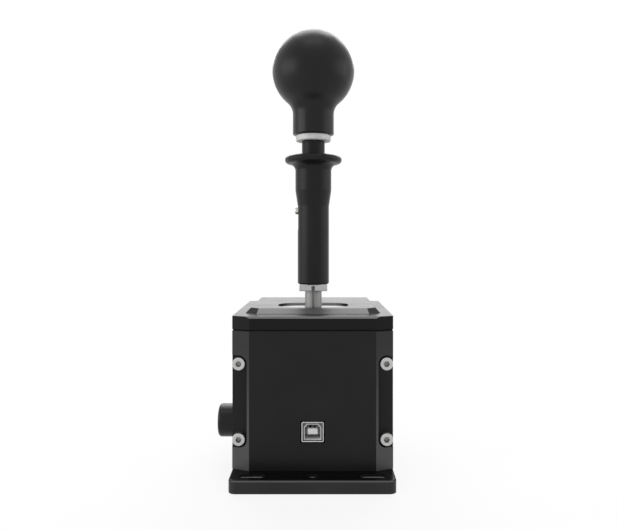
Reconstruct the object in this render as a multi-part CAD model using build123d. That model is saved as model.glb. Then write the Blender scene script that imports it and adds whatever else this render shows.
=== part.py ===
from build123d import *
import math
import os

# A gear shifter with an H gate and a lift-up reverse lock-out, in millimetres.
# +X is to the right as the socket side is seen, +Y points away from that side and +Z is up.
# The origin is the middle of the base plate's underside.

# Clearances
running_gap = 0.05
slide_gap = 0.1
plate_gap = 0.2
free_gap = 0.5
overrun = 1.0

# Base plate
base_thickness = 7.0
base_strip = 14.5
base_corner_radius = 4.0
base_bevel = 0.8
base_slot_length = 13.0
base_slot_width = 4.5
base_slot_side_inset = 11.8
base_hole_radius = 2.25
base_slot_bevel = 0.5

# Box
box_width = 88.0
box_length = 101.0
body_height = 75.9
panel_thickness = 9.0
side_thickness = 7.7
corner_cut_width = 9.6
corner_cut_depth = 4.1
seam_bevel = 0.5

# Cover
cover_rim_height = 7.7
cover_bevel = 1.1
plateau_rise = 2.6
plateau_foot_inset = 5.7
plateau_top_inset = 8.1
plateau_front_foot = 11.7
plateau_front_top = 19.5
plateau_rear_foot = 2.4
plateau_rear_top = 4.6
plateau_foot_cut = 6.8
plateau_top_cut = 5.0
cover_skin = 1.4
lever_slot_share = 0.4773
lever_slot_width = 28.0
lever_slot_radius = 11.0

# Screws of the housing
panel_screw_inset = 3.8
panel_screw_rise = 16.6
panel_screw_drop = 18.2
panel_screw_shank_radius = 2.0
panel_screw_shank_length = 13.0
panel_screw_head_radius = 3.5
panel_screw_head_height = 4.0
panel_screw_hex_radius = 1.75
panel_screw_hex_depth = 2.2
channel_radius = 4.5
channel_depth = 5.0
tie_screw_gap = 5.5
tie_screw_head_height = 4.0
tie_screw_recess = 4.4
tie_screw_bite = 5.5
head_round_share = 0.125

# Lever axis and its swing
lever_setback = 31.5
pivot_rise = 47.0
throw_limit = 11.0
lane_limit = 6.5
reverse_lane_angle = 12.5

# Lever
shaft_radius = 5.0
shaft_bore_radius = 2.2
shaft_knob_grip = 16.2
shaft_seat_rise = 4.5
keyway_width = 1.2
keyway_depth = 1.5
keyway_drop = 9.2
collar_rise = 8.8
collar_height = 3.9
collar_width = 16.6
collar_slit = 2.0
collar_web = 1.0
collar_bevel = 0.3
neck_radius = 6.85
neck_hidden_share = 0.29
neck_show = 8.95
ring_height = 3.7
ring_radius = 10.5
ring_bevel = 0.4
insert_radius = 7.0
insert_height = 20.0
knob_radius = 24.6
knob_rise = 38.65
knob_neck_radius = 12.3
knob_fillet_radius = 9.8
knob_foot_bevel = 0.6

# Lift sleeve and pull rod
sleeve_radius = 9.37
sleeve_grip_radius = 10.77
sleeve_length = 76.5
sleeve_taper_share = 0.6078
sleeve_taper_height = 9.4
sleeve_flange_radius = 17.05
sleeve_flange_thickness = 4.6
sleeve_flange_fillet = 4.4
sleeve_crown = 0.5
sleeve_crown_share = 0.75
sleeve_bore_radius = 7.1
sleeve_bush_height = 6.3
sleeve_guide_height = 13.0
sleeve_foot_bevel = 0.5
sleeve_flat_width = 4.8
sleeve_flat_depth = 0.6
sleeve_flat_share = 0.4405
cross_screw_share = 0.5739
cross_screw_radius = 1.5
cross_screw_head_radius = 2.3
cross_screw_head_height = 2.3
cross_screw_round_share = 0.33
cross_screw_hex_radius = 0.9
cross_screw_hex_depth = 1.2
rod_radius = 1.2
rod_head_radius = 2.0
rod_head_height = 7.0
rod_foot_gap = 1.4
spring_stop_share = 0.3268
spring_stop_height = 3.5
spring_stop_gap = 0.2
sleeve_spring_wire = 1.1
sleeve_spring_radius = 6.05
sleeve_spring_turns = 6

# Pivot block and its pins
block_width_share = 0.0852
block_half_depth = 8.5
block_drop = 8.0
block_rise = 18.0
block_bevel = 0.6
tail_radius = 4.5
tail_drop = 34.0
tail_flat = 3.5
tail_flat_height = 20.0
tail_bush_height = 6.0
rod_passage_radius = 1.7
throw_pin_radius = 3.0
throw_pin_inner = 3.9
throw_bush_radius = 4.5
magnet_radius = 3.0
magnet_thickness = 3.0
sensing_drop = 26.0

# Yoke
yoke_gap_share = 0.142
yoke_width_share = 0.2159
yoke_half_depth = 15.0
yoke_end_wall = 5.5
yoke_half_height = 8.0
yoke_bevel = 0.8
lane_shaft_radius = 4.0
lane_shaft_seat = 5.0
lane_bearing_radius = 8.0
lane_bearing_width = 5.0
lane_bearing_groove = 0.6
bearing_ring_share = 0.25
detent_arm_half_width = 6.0
detent_arm_drop = 30.0
bumper_radius = 2.5
bumper_gap = 1.85
bumper_drop = 5.0

# Throw detent
detent_drop = 24.0
detent_plate_thickness = 3.0
detent_plate_half_width = 8.0
detent_plate_half_height = 6.0
detent_dimple_depth = 0.6
ball_radius = 2.0
ball_press = 0.6
detent_body_radius = 4.0
detent_body_length = 13.2
detent_body_setback = 1.3
detent_bore_depth = 10.4
detent_spring_wire = 0.5
detent_spring_radius = 1.6
detent_spring_turns = 6
lock_nut_radius = 7.0
lock_nut_height = 3.0

# Lane cam and its adjustable plunger
cam_thickness = 3.0
cam_half_width = 8.0
cam_top_rise = 7.0
cam_drop = 35.5
cam_notch_depth = 0.9
cam_notch_radius = 3.4
cam_screw_radius = 1.5
cam_screw_head_radius = 2.75
cam_screw_head_height = 1.2
cam_screw_offset = 5.5
cam_screw_rise = 5.0
cam_screw_length = 8.0
adjuster_rise = 17.1
adjuster_knob_radius = 9.7
adjuster_knob_length = 12.1
adjuster_knob_round = 2.0
adjuster_knob_gap = 0.3
adjuster_screw_radius = 2.5
adjuster_screw_grip = 9.0
adjuster_collar_radius = 4.0
adjuster_collar_width = 1.2
adjuster_pitch = 1.0
adjuster_turns = 3
housing_radius = 8.0
housing_bore_radius = 6.0
housing_end_wall = 1.5
housing_reach_share = 0.2011
plunger_nose_radius = 3.0
plunger_head_thickness = 2.0
plunger_press = 0.8
seat_thickness = 3.5
centring_spring_wire = 0.9
centring_spring_radius = 4.4
centring_spring_turns = 3

# Gate and lock-out at the lever's foot
gate_rise = 8.5
gate_thickness = 2.5
gate_half_width = 16.5
gate_front = 13.0
gate_rear = 9.0
gate_slot_width = 3.0
gate_post_radius = 2.75
gate_post_offset = 13.5
gate_post_inset = 3.0
gate_screw_radius = 1.5
gate_screw_head_radius = 2.6
gate_screw_head_height = 1.6
gate_screw_length = 8.0
lockout_half_width = 8.0
lockout_depth = 4.6
lockout_setback = 6.9
lockout_height = 6.0

# Sliding dust plates
dust_thickness = 1.0
dust_lap = 0.4
dust_corner_cut = 8.0
lever_hole_gap = 0.6
guide_thickness = 2.0
guide_end_margin = 5.0
guide_screw_offset = 24.0
guide_screw_inset = 2.6
guide_screw_radius = 1.25
guide_screw_bite = 1.5
guide_screw_head_radius = 2.3
guide_screw_head_height = 1.4

# Electronics
usb_rise = 21.15
usb_width = 12.04
usb_tall = 10.9
usb_depth = 16.0
usb_wall = 0.45
usb_setback = 0.1
usb_panel_gap = 0.6
usb_mouth_width = 8.45
usb_mouth_tall = 7.78
usb_mouth_cut = 1.6
usb_mouth_depth = 9.0
usb_tongue_width = 5.6
usb_tongue_tall = 3.2
usb_tongue_length = 8.2
usb_contact_width = 1.0
usb_contact_thickness = 0.25
usb_contact_pitch = 2.6
usb_contact_length = 6.5
board_thickness = 1.6
board_side_gap = 8.3
board_rear = 15.0
board_front_gap = 0.2
standoff_radius = 2.5
standoff_side_inset = 3.5
standoff_inset = 3.2
board_screw_radius = 1.25
board_screw_head_radius = 2.3
board_screw_head_height = 1.6
board_screw_length = 6.0
chip_size_share = 0.25
chip_height = 1.2
chip_place_share = 0.57
crystal_length = 4.0
crystal_width = 2.2
crystal_height = 1.6
capacitor_radius = 2.0
capacitor_height = 5.0
sensor_board_half_width = 9.0
sensor_board_height = 15.0
sensor_chip_size = 5.0
sensor_chip_thickness = 1.0
header_half_width = 7.0
header_depth = 2.4
header_height = 2.5

# Levels and faces that follow from the sizes above
base_top = base_thickness
body_top = base_top + body_height
rim_top = body_top + cover_rim_height
plateau_top = rim_top + plateau_rise
half_width = box_width / 2
half_length = box_length / 2
pivot_height = base_top + pivot_rise
plate_half_length = half_length + base_strip
panel_inner_y = half_length - panel_thickness
side_inner_x = half_width - side_thickness
screw_x = half_width - panel_screw_inset
channel_floor = half_length - channel_depth
tie_screw_offset = channel_floor - panel_screw_shank_length - tie_screw_gap
lever_slot_length = box_width * lever_slot_share
lever_y = -panel_inner_y + lever_setback
panel_screw_low = base_top + panel_screw_rise
panel_screw_high = body_top - panel_screw_drop

tan_throw = math.tan(math.radians(throw_limit))
tan_lane = math.tan(math.radians(lane_limit))
tan_reverse = math.tan(math.radians(reverse_lane_angle))

dust_ceiling = plateau_top - cover_skin
upper_dust_top = dust_ceiling - plate_gap
upper_dust_bottom = upper_dust_top - dust_thickness
lower_dust_top = upper_dust_bottom - plate_gap
lower_dust_bottom = lower_dust_top - dust_thickness
guide_top = lower_dust_bottom - plate_gap
guide_bottom = guide_top - guide_thickness
throw_travel = tan_throw * (upper_dust_bottom - pivot_height)
lane_travel = tan_lane * (lower_dust_top - pivot_height)
dust_half_x = lever_slot_length / 2 + throw_travel + dust_lap
dust_half_y = lever_slot_width / 2 + lane_travel + dust_lap
cavity_half_x = dust_half_x + throw_travel + free_gap
cavity_half_y = dust_half_y + lane_travel + free_gap
lever_hole_radius = shaft_radius + lever_hole_gap

keyway_bottom = plateau_top - keyway_drop
collar_bottom = plateau_top + collar_rise
collar_top = collar_bottom + collar_height
sleeve_bottom = collar_top + slide_gap
sleeve_top = sleeve_bottom + sleeve_length
sleeve_flat_bottom = sleeve_bottom + sleeve_length * sleeve_flat_share
sleeve_taper_bottom = sleeve_bottom + sleeve_length * sleeve_taper_share
sleeve_taper_top = sleeve_taper_bottom + sleeve_taper_height
cross_screw_height = sleeve_bottom + sleeve_length * cross_screw_share
spring_stop_bottom = sleeve_bottom + sleeve_length * spring_stop_share
neck_bottom = sleeve_top - sleeve_length * neck_hidden_share
ring_bottom = sleeve_top + neck_show
ring_top = ring_bottom + ring_height
knob_centre = ring_top + knob_rise
shaft_top = ring_top + shaft_knob_grip
lift_travel = neck_show - sleeve_crown - plate_gap
rod_bottom = base_top + rod_foot_gap

detent_face = tail_flat + detent_plate_thickness
block_half_width = box_width * block_width_share
yoke_half_gap = box_width * yoke_gap_share
yoke_outer_x = box_width * yoke_width_share
bumper_height = yoke_half_gap - block_half_width - bumper_gap
yoke_arm_y = yoke_half_depth - yoke_end_wall
cam_face_x = yoke_outer_x + cam_thickness
adjuster_height = base_top + adjuster_rise
housing_outer_x = half_width - slide_gap
housing_inner_x = housing_outer_x - box_width * housing_reach_share
gate_bottom = base_top + gate_rise
gate_top = gate_bottom + gate_thickness
usb_height = base_top + usb_rise
board_top = usb_height - usb_tall / 2
board_bottom = board_top - board_thickness
board_rear_y = lever_y - board_rear
board_half_width = side_inner_x - board_side_gap
standoff_x = board_half_width - standoff_side_inset
chip_size = board_half_width * chip_size_share
chip_x = board_half_width * chip_place_share


def slab(x_span, y_span, z_span):
    """A block between pairs of low and high coordinates."""
    spans = (x_span, y_span, z_span)
    sizes = [high - low for low, high in spans]
    middles = [(high + low) / 2 for low, high in spans]
    return Pos(*middles) * Box(*sizes)


def post(radius, z_span, x=0, y=0):
    """An upright cylinder."""
    low, high = z_span
    return Pos(x, y, (low + high) / 2) * Cylinder(radius, high - low)


def bar_x(radius, x_span, y, z):
    """A cylinder that lies along X."""
    low, high = x_span
    return Pos((low + high) / 2, y, z) * Rot(0, 90, 0) * Cylinder(radius, high - low)


def bar_y(radius, y_span, x, z):
    """A cylinder that lies along Y."""
    low, high = y_span
    return Pos(x, (low + high) / 2, z) * Rot(90, 0, 0) * Cylinder(radius, high - low)


def prism(points, z_span):
    """An upright prism over an outline in plan."""
    low, high = z_span
    outline = make_face(Polyline(*points, close=True))
    return extrude(Pos(0, 0, low) * outline, amount=high - low, dir=(0, 0, 1))


def slot_prism(length, width, z_span, x=0, y=0):
    """An upright prism with round ends that runs along X."""
    low, high = z_span
    return extrude(Pos(x, y, low) * SlotOverall(length, width), amount=high - low)


def on_lever(shape):
    """Moves a shape made about the origin's vertical line to the lever's line."""
    return Pos(0, lever_y, 0) * shape


def tilt_throw(shape, angle):
    """Turns a shape about the throw axis."""
    there = Pos(0, lever_y, pivot_height)
    back = Pos(0, -lever_y, -pivot_height)
    return there * Rot(0, angle, 0) * back * shape


def tilt_lane(shape, angle):
    """Turns a shape about the lane axis."""
    there = Pos(0, lever_y, pivot_height)
    back = Pos(0, -lever_y, -pivot_height)
    return there * Rot(angle, 0, 0) * back * shape


def coil(radius, wire, length, turns):
    """A spring of round wire about Z from zero to its length, wound as half-turn arcs."""
    rise = (length - wire) / (2 * turns)
    path = []
    for half_turn in range(2 * turns):
        side = 1 if half_turn % 2 == 0 else -1
        start = half_turn * rise + wire / 2
        path.append(
            ThreePointArc(
                (side * radius, 0, start),
                (0, side * radius, start + rise / 2),
                (-side * radius, 0, start + rise),
            )
        )
    route = Wire(path)
    section = Plane(origin=route @ 0, z_dir=route % 0) * Circle(wire / 2)
    return sweep(section, path=route)


def box_outline():
    """The box in plan: a rectangle with shallow cuts at its corners."""
    inner_x = half_width - corner_cut_width
    inner_y = half_length - corner_cut_depth
    quarter = [(inner_x, half_length), (half_width, inner_y)]
    right = [(x, -y) for x, y in quarter] + [(x, y) for x, y in reversed(quarter)]
    left = [(-x, y) for x, y in reversed(right)]
    return right + left


def make_base_plate():
    plate = slab(
        (-half_width, half_width), (-plate_half_length, plate_half_length), (0, base_top)
    )
    plate = fillet(plate.edges().filter_by(Axis.Z), base_corner_radius)
    plate = chamfer(plate.edges().group_by(Axis.Z)[-1], base_bevel)
    through = (-overrun, base_top + overrun)
    for y_side in (-1, 1):
        slot_y = y_side * (plate_half_length - base_strip / 2)
        plate -= post(base_hole_radius, through, 0, slot_y)
        for x_side in (-1, 1):
            slot_x = x_side * (half_width - base_slot_side_inset)
            plate -= slot_prism(base_slot_length, base_slot_width, through, slot_x, slot_y)
    top_face = plate.faces().sort_by(Axis.Z)[-1]
    rims = [edge for wire in top_face.inner_wires() for edge in wire.edges()]
    plate = chamfer(rims, base_slot_bevel)
    for x in (-screw_x, screw_x):
        for y in (-tie_screw_offset, tie_screw_offset):
            plate -= post(panel_screw_shank_radius, through, x, y)
            plate -= post(panel_screw_head_radius, (-overrun, tie_screw_recess), x, y)
    return plate


def make_panel():
    """The front panel without its socket opening; the rear panel is its mirror image."""
    panel = prism(box_outline(), (base_top, body_top))
    panel &= slab((-half_width, half_width), (-half_length, -panel_inner_y), (base_top, body_top))
    rim = panel.edges().group_by(Axis.Z)[-1]
    outer_rim = [edge for edge in rim if edge.center().Y < -panel_inner_y - seam_bevel]
    panel = chamfer(outer_rim, seam_bevel)
    for side in (-1, 1):
        x = side * screw_x
        for z in (panel_screw_low, panel_screw_high):
            panel -= bar_y(channel_radius, (-half_length - overrun, -channel_floor), x, z)
            panel -= bar_y(panel_screw_shank_radius, (-half_length, -panel_inner_y), x, z)
        inner = x - side * channel_radius
        outer = side * (half_width + overrun)
        panel -= slab(
            sorted((inner, outer)),
            (-half_length - overrun, -channel_floor),
            (panel_screw_low, panel_screw_high),
        )
        for z in (panel_screw_low, panel_screw_high):
            low, high = sorted((x, outer))
            panel -= slab(
                (low, high),
                (-half_length - overrun, -channel_floor),
                (z - channel_radius, z + channel_radius),
            )
    return panel


def make_front_panel():
    panel = make_panel()
    opening_x = usb_width / 2 + usb_panel_gap
    opening_z = usb_tall / 2 + usb_panel_gap
    panel -= slab(
        (-opening_x, opening_x),
        (-half_length - overrun, -panel_inner_y + overrun),
        (usb_height - opening_z, usb_height + opening_z),
    )
    return panel


def make_rear_panel():
    return mirror(make_panel(), about=Plane.XZ)


def make_side_plate(side):
    inner = side * side_inner_x
    outer = side * half_width
    plate = slab(sorted((inner, outer)), (-panel_inner_y, panel_inner_y), (base_top, body_top))
    for y_side in (-1, 1):
        for z in (panel_screw_low, panel_screw_high):
            tip = channel_floor - panel_screw_shank_length
            span = sorted((y_side * tip, y_side * (panel_inner_y + overrun)))
            plate -= bar_y(panel_screw_shank_radius, span, side * screw_x, z)
        plate -= post(
            panel_screw_shank_radius,
            (base_top - overrun, body_top + overrun),
            side * screw_x,
            y_side * tie_screw_offset,
        )
    pocket = sorted((side * (side_inner_x - overrun), side * (side_inner_x + lane_bearing_width)))
    plate -= bar_x(lane_bearing_radius, pocket, lever_y, pivot_height)
    return plate


def make_left_side_plate():
    plate = make_side_plate(-1)
    hole = (-half_width - overrun, -side_inner_x + overrun)
    return plate - bar_x(housing_radius, hole, lever_y, adjuster_height)


def make_right_side_plate():
    return make_side_plate(1)


def plateau_outline(half_x, front_y, rear_y, cut):
    """The raised part of the cover in plan, with cut front corners."""
    return [
        (-half_x + cut, front_y),
        (half_x - cut, front_y),
        (half_x, front_y + cut),
        (half_x, rear_y),
        (-half_x, rear_y),
        (-half_x, front_y + cut),
    ]


def make_plateau():
    foot = plateau_outline(
        half_width - plateau_foot_inset,
        -half_length + plateau_front_foot,
        half_length - plateau_rear_foot,
        plateau_foot_cut,
    )
    top = plateau_outline(
        half_width - plateau_top_inset,
        -half_length + plateau_front_top,
        half_length - plateau_rear_top,
        plateau_top_cut,
    )
    foot_face = Pos(0, 0, rim_top) * make_face(Polyline(*foot, close=True))
    top_face = Pos(0, 0, plateau_top) * make_face(Polyline(*top, close=True))
    return loft([foot_face, top_face], ruled=True)


def clipped_rectangle(half_x, half_y, cut):
    """A rectangle in plan, about the lever, with its corners cut at 45 degrees."""
    quarter = [(half_x - cut, half_y), (half_x, half_y - cut)]
    right = [(x, -y) for x, y in quarter] + [(x, y) for x, y in reversed(quarter)]
    left = [(-x, y) for x, y in reversed(right)]
    return [(x, lever_y + y) for x, y in right + left]


def guide_spans():
    half_x = cavity_half_x + slide_gap
    half_y = cavity_half_y + guide_end_margin
    return (-half_x, half_x), (lever_y - half_y, lever_y + half_y)


def guide_screw_places():
    (_, _), (front, rear) = guide_spans()
    for x in (-guide_screw_offset, guide_screw_offset):
        for y in (front + guide_screw_inset, rear - guide_screw_inset):
            yield x, y


def make_top_cover():
    rim = prism(box_outline(), (body_top, rim_top))
    rim = chamfer(rim.edges().filter_by(Axis.X).group_by(Axis.Z)[-1], cover_bevel)
    rim = chamfer(rim.edges().group_by(Axis.Z)[0], seam_bevel)
    cover = rim + make_plateau()
    guide_x, guide_y = guide_spans()
    cover -= slab(guide_x, guide_y, (body_top - overrun, guide_top))
    cavity = clipped_rectangle(cavity_half_x, cavity_half_y, dust_corner_cut)
    cover -= prism(cavity, (guide_top - overrun, dust_ceiling))
    slot = RectangleRounded(lever_slot_length, lever_slot_width, lever_slot_radius)
    cover -= extrude(
        Pos(0, lever_y, dust_ceiling - overrun) * slot, amount=cover_skin + 2 * overrun
    )
    for x in (-screw_x, screw_x):
        for y in (-tie_screw_offset, tie_screw_offset):
            cover -= post(
                panel_screw_shank_radius, (body_top - overrun, body_top + tie_screw_bite), x, y
            )
    for x, y in guide_screw_places():
        cover -= post(guide_screw_radius, (guide_top - overrun, guide_top + guide_screw_bite), x, y)
    return cover


def socket_screw_up(shank_radius, shank_length, head_radius, head_height, hex_radius, hex_depth):
    """A socket screw whose head rests on z = 0 from below and whose shank points up."""
    screw = post(head_radius, (-head_height, 0))
    screw = fillet(screw.edges().group_by(Axis.Z)[0], head_height * head_round_share)
    screw += post(shank_radius, (0, shank_length))
    socket = Pos(0, 0, -head_height) * RegularPolygon(hex_radius, 6)
    return screw - extrude(socket, amount=hex_depth)


def make_panel_screws():
    screw = socket_screw_up(
        panel_screw_shank_radius,
        panel_screw_shank_length,
        panel_screw_head_radius,
        panel_screw_head_height,
        panel_screw_hex_radius,
        panel_screw_hex_depth,
    )
    screws = []
    for x in (-screw_x, screw_x):
        for z in (panel_screw_low, panel_screw_high):
            screws.append(Pos(x, -channel_floor, z) * Rot(-90, 0, 0) * screw)
            screws.append(Pos(x, channel_floor, z) * Rot(90, 0, 0) * screw)
    return screws


def make_tie_screws():
    seat = tie_screw_recess
    screw = socket_screw_up(
        panel_screw_shank_radius,
        body_top + tie_screw_bite - seat,
        panel_screw_head_radius,
        tie_screw_head_height,
        panel_screw_hex_radius,
        panel_screw_hex_depth,
    )
    return [
        Pos(x, y, seat) * screw
        for x in (-screw_x, screw_x)
        for y in (-tie_screw_offset, tie_screw_offset)
    ]


def make_dust_guide():
    (low_x, high_x), (low_y, high_y) = guide_spans()
    plate = slab(
        (low_x + slide_gap, high_x - slide_gap),
        (low_y + slide_gap, high_y - slide_gap),
        (guide_bottom, guide_top),
    )
    reach = guide_top - pivot_height
    hole_x = 2 * (lever_hole_radius + tan_throw * reach)
    hole_y = 2 * (lever_hole_radius + tan_reverse * reach)
    hole = RectangleRounded(hole_x, hole_y, shaft_radius)
    plate -= extrude(
        Pos(0, lever_y, guide_bottom - overrun) * hole, amount=guide_thickness + 2 * overrun
    )
    for x, y in guide_screw_places():
        plate -= post(guide_screw_radius, (guide_bottom - overrun, guide_top + overrun), x, y)
    return plate


def make_guide_screws():
    screws = []
    for x, y in guide_screw_places():
        screw = post(guide_screw_radius, (guide_bottom, guide_top + guide_screw_bite), x, y)
        head = (guide_bottom - guide_screw_head_height, guide_bottom)
        screws.append(screw + post(guide_screw_head_radius, head, x, y))
    return screws


def make_dust_plate_lower():
    outline = clipped_rectangle(cavity_half_x - free_gap, dust_half_y, dust_corner_cut)
    plate = prism(outline, (lower_dust_bottom, lower_dust_top))
    reach = lower_dust_top - pivot_height
    length = 2 * (lever_hole_radius + tan_throw * reach)
    through = (lower_dust_bottom - overrun, lower_dust_top + overrun)
    return plate - slot_prism(length, 2 * lever_hole_radius, through, 0, lever_y)


def make_dust_plate_upper():
    outline = clipped_rectangle(dust_half_x, dust_half_y, dust_corner_cut)
    plate = prism(outline, (upper_dust_bottom, upper_dust_top))
    through = (upper_dust_bottom - overrun, upper_dust_top + overrun)
    return plate - post(lever_hole_radius, through, 0, lever_y)


def make_lane_bearings():
    bearings = []
    for side in (-1, 1):
        near = side * side_inner_x
        far = side * (side_inner_x + lane_bearing_width)
        ring = bar_x(lane_bearing_radius, sorted((near, far)), lever_y, pivot_height)
        groove_far = near + side * lane_bearing_groove
        groove_radius = (lane_bearing_radius + lane_shaft_radius) / 2
        groove_half = (lane_bearing_radius - lane_shaft_radius) * bearing_ring_share
        groove = bar_x(
            groove_radius + groove_half, sorted((near, groove_far)), lever_y, pivot_height
        )
        groove -= bar_x(
            groove_radius - groove_half, sorted((near, groove_far)), lever_y, pivot_height
        )
        ring -= groove
        bore = sorted((near - side * overrun, far + side * overrun))
        ring -= bar_x(lane_shaft_radius + running_gap, bore, lever_y, pivot_height)
        bearings.append(ring)
    return bearings


def make_gimbal_yoke():
    high = pivot_height + yoke_half_height
    low = pivot_height - yoke_half_height
    yoke = slab(
        (-yoke_outer_x, yoke_outer_x),
        (lever_y - yoke_half_depth, lever_y + yoke_half_depth),
        (low, high),
    )
    yoke = chamfer(yoke.edges().filter_by(Axis.Z), yoke_bevel)
    yoke -= slab(
        (-yoke_half_gap, yoke_half_gap),
        (lever_y - yoke_arm_y, lever_y + yoke_arm_y),
        (low - overrun, high + overrun),
    )
    yoke += slab(
        (-detent_arm_half_width, detent_arm_half_width),
        (lever_y + yoke_arm_y, lever_y + yoke_half_depth),
        (pivot_height - detent_arm_drop, pivot_height),
    )
    for side in (-1, 1):
        span = sorted((side * (yoke_outer_x - lane_shaft_seat), side * (yoke_outer_x + overrun)))
        yoke -= bar_x(lane_shaft_radius, span, lever_y, pivot_height)
        bush = sorted((side * yoke_arm_y, side * (yoke_half_depth + overrun)))
        bush = [lever_y + end for end in bush]
        yoke -= bar_y(throw_bush_radius, bush, 0, pivot_height)
    detent_z = pivot_height - detent_drop
    hole = (lever_y + yoke_arm_y - overrun, lever_y + yoke_half_depth + overrun)
    yoke -= bar_y(detent_body_radius, hole, 0, detent_z)
    for y, z in cam_screw_places():
        span = (-yoke_outer_x, -yoke_outer_x + cam_screw_length - cam_thickness)
        yoke -= bar_x(cam_screw_radius, span, y, z)
    return yoke


def cam_screw_places():
    for side in (-1, 1):
        yield lever_y + side * cam_screw_offset, pivot_height + cam_screw_rise


def make_lane_shafts():
    shafts = []
    for side in (-1, 1):
        inner = side * (yoke_outer_x - lane_shaft_seat)
        outer = side * (side_inner_x + lane_bearing_width - plate_gap)
        shafts.append(bar_x(lane_shaft_radius, sorted((inner, outer)), lever_y, pivot_height))
    return shafts


def make_throw_bushes():
    bushes = []
    for side in (-1, 1):
        span = sorted((lever_y + side * yoke_arm_y, lever_y + side * yoke_half_depth))
        bush = bar_y(throw_bush_radius, span, 0, pivot_height)
        bore = (span[0] - overrun, span[1] + overrun)
        bushes.append(bush - bar_y(throw_pin_radius + running_gap, bore, 0, pivot_height))
    return bushes


def make_throw_pins():
    pins = []
    for side in (-1, 1):
        inner = lever_y + side * throw_pin_inner
        outer = lever_y + side * (yoke_half_depth - plate_gap)
        pins.append(bar_y(throw_pin_radius, sorted((inner, outer)), 0, pivot_height))
    return pins


def make_lane_cam():
    cam = slab(
        (-cam_face_x, -yoke_outer_x),
        (lever_y - cam_half_width, lever_y + cam_half_width),
        (pivot_height - cam_drop, pivot_height + cam_top_rise),
    )
    span = (-cam_face_x - overrun, -yoke_outer_x + overrun)
    cam -= bar_x(lane_shaft_radius, span, lever_y, pivot_height)
    groove_x = -cam_face_x - cam_notch_radius + cam_notch_depth
    for lane in (-1, 0, 1):
        groove = post(
            cam_notch_radius,
            (pivot_height - cam_drop - overrun, adjuster_height + plunger_nose_radius),
            groove_x,
            lever_y,
        )
        cam -= tilt_lane(groove, lane * lane_limit)
    for y, z in cam_screw_places():
        cam -= bar_x(cam_screw_radius, span, y, z)
    return cam


def make_cam_screws():
    screws = []
    for y, z in cam_screw_places():
        shank = (-cam_face_x, -cam_face_x + cam_screw_length)
        head = (-cam_face_x - cam_screw_head_height, -cam_face_x)
        screw = bar_x(cam_screw_radius, shank, y, z)
        screws.append(screw + bar_x(cam_screw_head_radius, head, y, z))
    return screws


def make_throw_bumpers():
    bumpers = []
    for side in (-1, 1):
        span = sorted((side * yoke_half_gap, side * (yoke_half_gap - bumper_height)))
        bumpers.append(bar_x(bumper_radius, span, lever_y, pivot_height - bumper_drop))
    return bumpers


def make_detent_body():
    detent_z = pivot_height - detent_drop
    front = lever_y + detent_face + detent_body_setback
    body = bar_y(detent_body_radius, (front, front + detent_body_length), 0, detent_z)
    bore = (front - overrun, front + detent_bore_depth)
    return body - bar_y(ball_radius + slide_gap, bore, 0, detent_z)


def ball_centre_y():
    return lever_y + detent_face + slide_gap + ball_radius


def make_detent_ball():
    return Pos(0, ball_centre_y(), pivot_height - detent_drop) * Sphere(ball_radius)


def make_detent_spring():
    start = ball_centre_y() + ball_radius
    end = lever_y + detent_face + detent_body_setback + detent_bore_depth
    spring = coil(detent_spring_radius, detent_spring_wire, end - start, detent_spring_turns)
    return Pos(0, start, pivot_height - detent_drop) * Rot(-90, 0, 0) * spring


def make_lock_nut():
    nut_y = lever_y + yoke_half_depth
    detent_z = pivot_height - detent_drop
    hexagon = Pos(0, nut_y, detent_z) * Rot(-90, 0, 0) * RegularPolygon(lock_nut_radius, 6)
    nut = extrude(hexagon, amount=lock_nut_height)
    span = (nut_y - overrun, nut_y + lock_nut_height + overrun)
    return nut - bar_y(detent_body_radius, span, 0, detent_z)


def make_lever_shaft():
    bottom = pivot_height + shaft_seat_rise
    shaft = post(shaft_radius, (bottom, shaft_top), 0, lever_y)
    shaft -= post(shaft_bore_radius, (bottom - overrun, shaft_top + overrun), 0, lever_y)
    slot_low = cross_screw_height - cross_screw_radius - slide_gap
    slot_high = cross_screw_height + lift_travel + cross_screw_radius + slide_gap
    slot_half = cross_screw_radius + slide_gap
    shaft -= slab(
        (-shaft_radius - overrun, 0), (lever_y - slot_half, lever_y + slot_half), (slot_low, slot_high)
    )
    front = lever_y - shaft_radius
    shaft -= slab(
        (-keyway_width / 2, keyway_width / 2),
        (front - overrun, front + keyway_depth),
        (keyway_bottom, collar_top),
    )
    return shaft


def make_pivot_block():
    top = pivot_height + block_rise
    low = pivot_height - block_drop
    foot = pivot_height - tail_drop
    block = slab(
        (-block_half_width, block_half_width),
        (lever_y - block_half_depth, lever_y + block_half_depth),
        (low, top),
    )
    block = chamfer(block.edges(), block_bevel)
    tail = post(tail_radius, (foot, low), 0, lever_y)
    flats = slab(
        (-tail_radius, tail_radius),
        (lever_y - tail_flat, lever_y + tail_flat),
        (foot, foot + tail_flat_height),
    )
    tail &= flats + post(tail_radius, (foot + tail_flat_height, low), 0, lever_y)
    block += tail
    block -= post(shaft_radius, (pivot_height + shaft_seat_rise, top + overrun), 0, lever_y)
    block -= post(rod_passage_radius, (foot + tail_bush_height, top), 0, lever_y)
    block -= post(rod_radius + slide_gap, (foot - overrun, top), 0, lever_y)
    for side in (-1, 1):
        inner = lever_y + side * throw_pin_inner
        outer = lever_y + side * (block_half_depth + overrun)
        block -= bar_y(throw_pin_radius, sorted((inner, outer)), 0, pivot_height)
    return block


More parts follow.
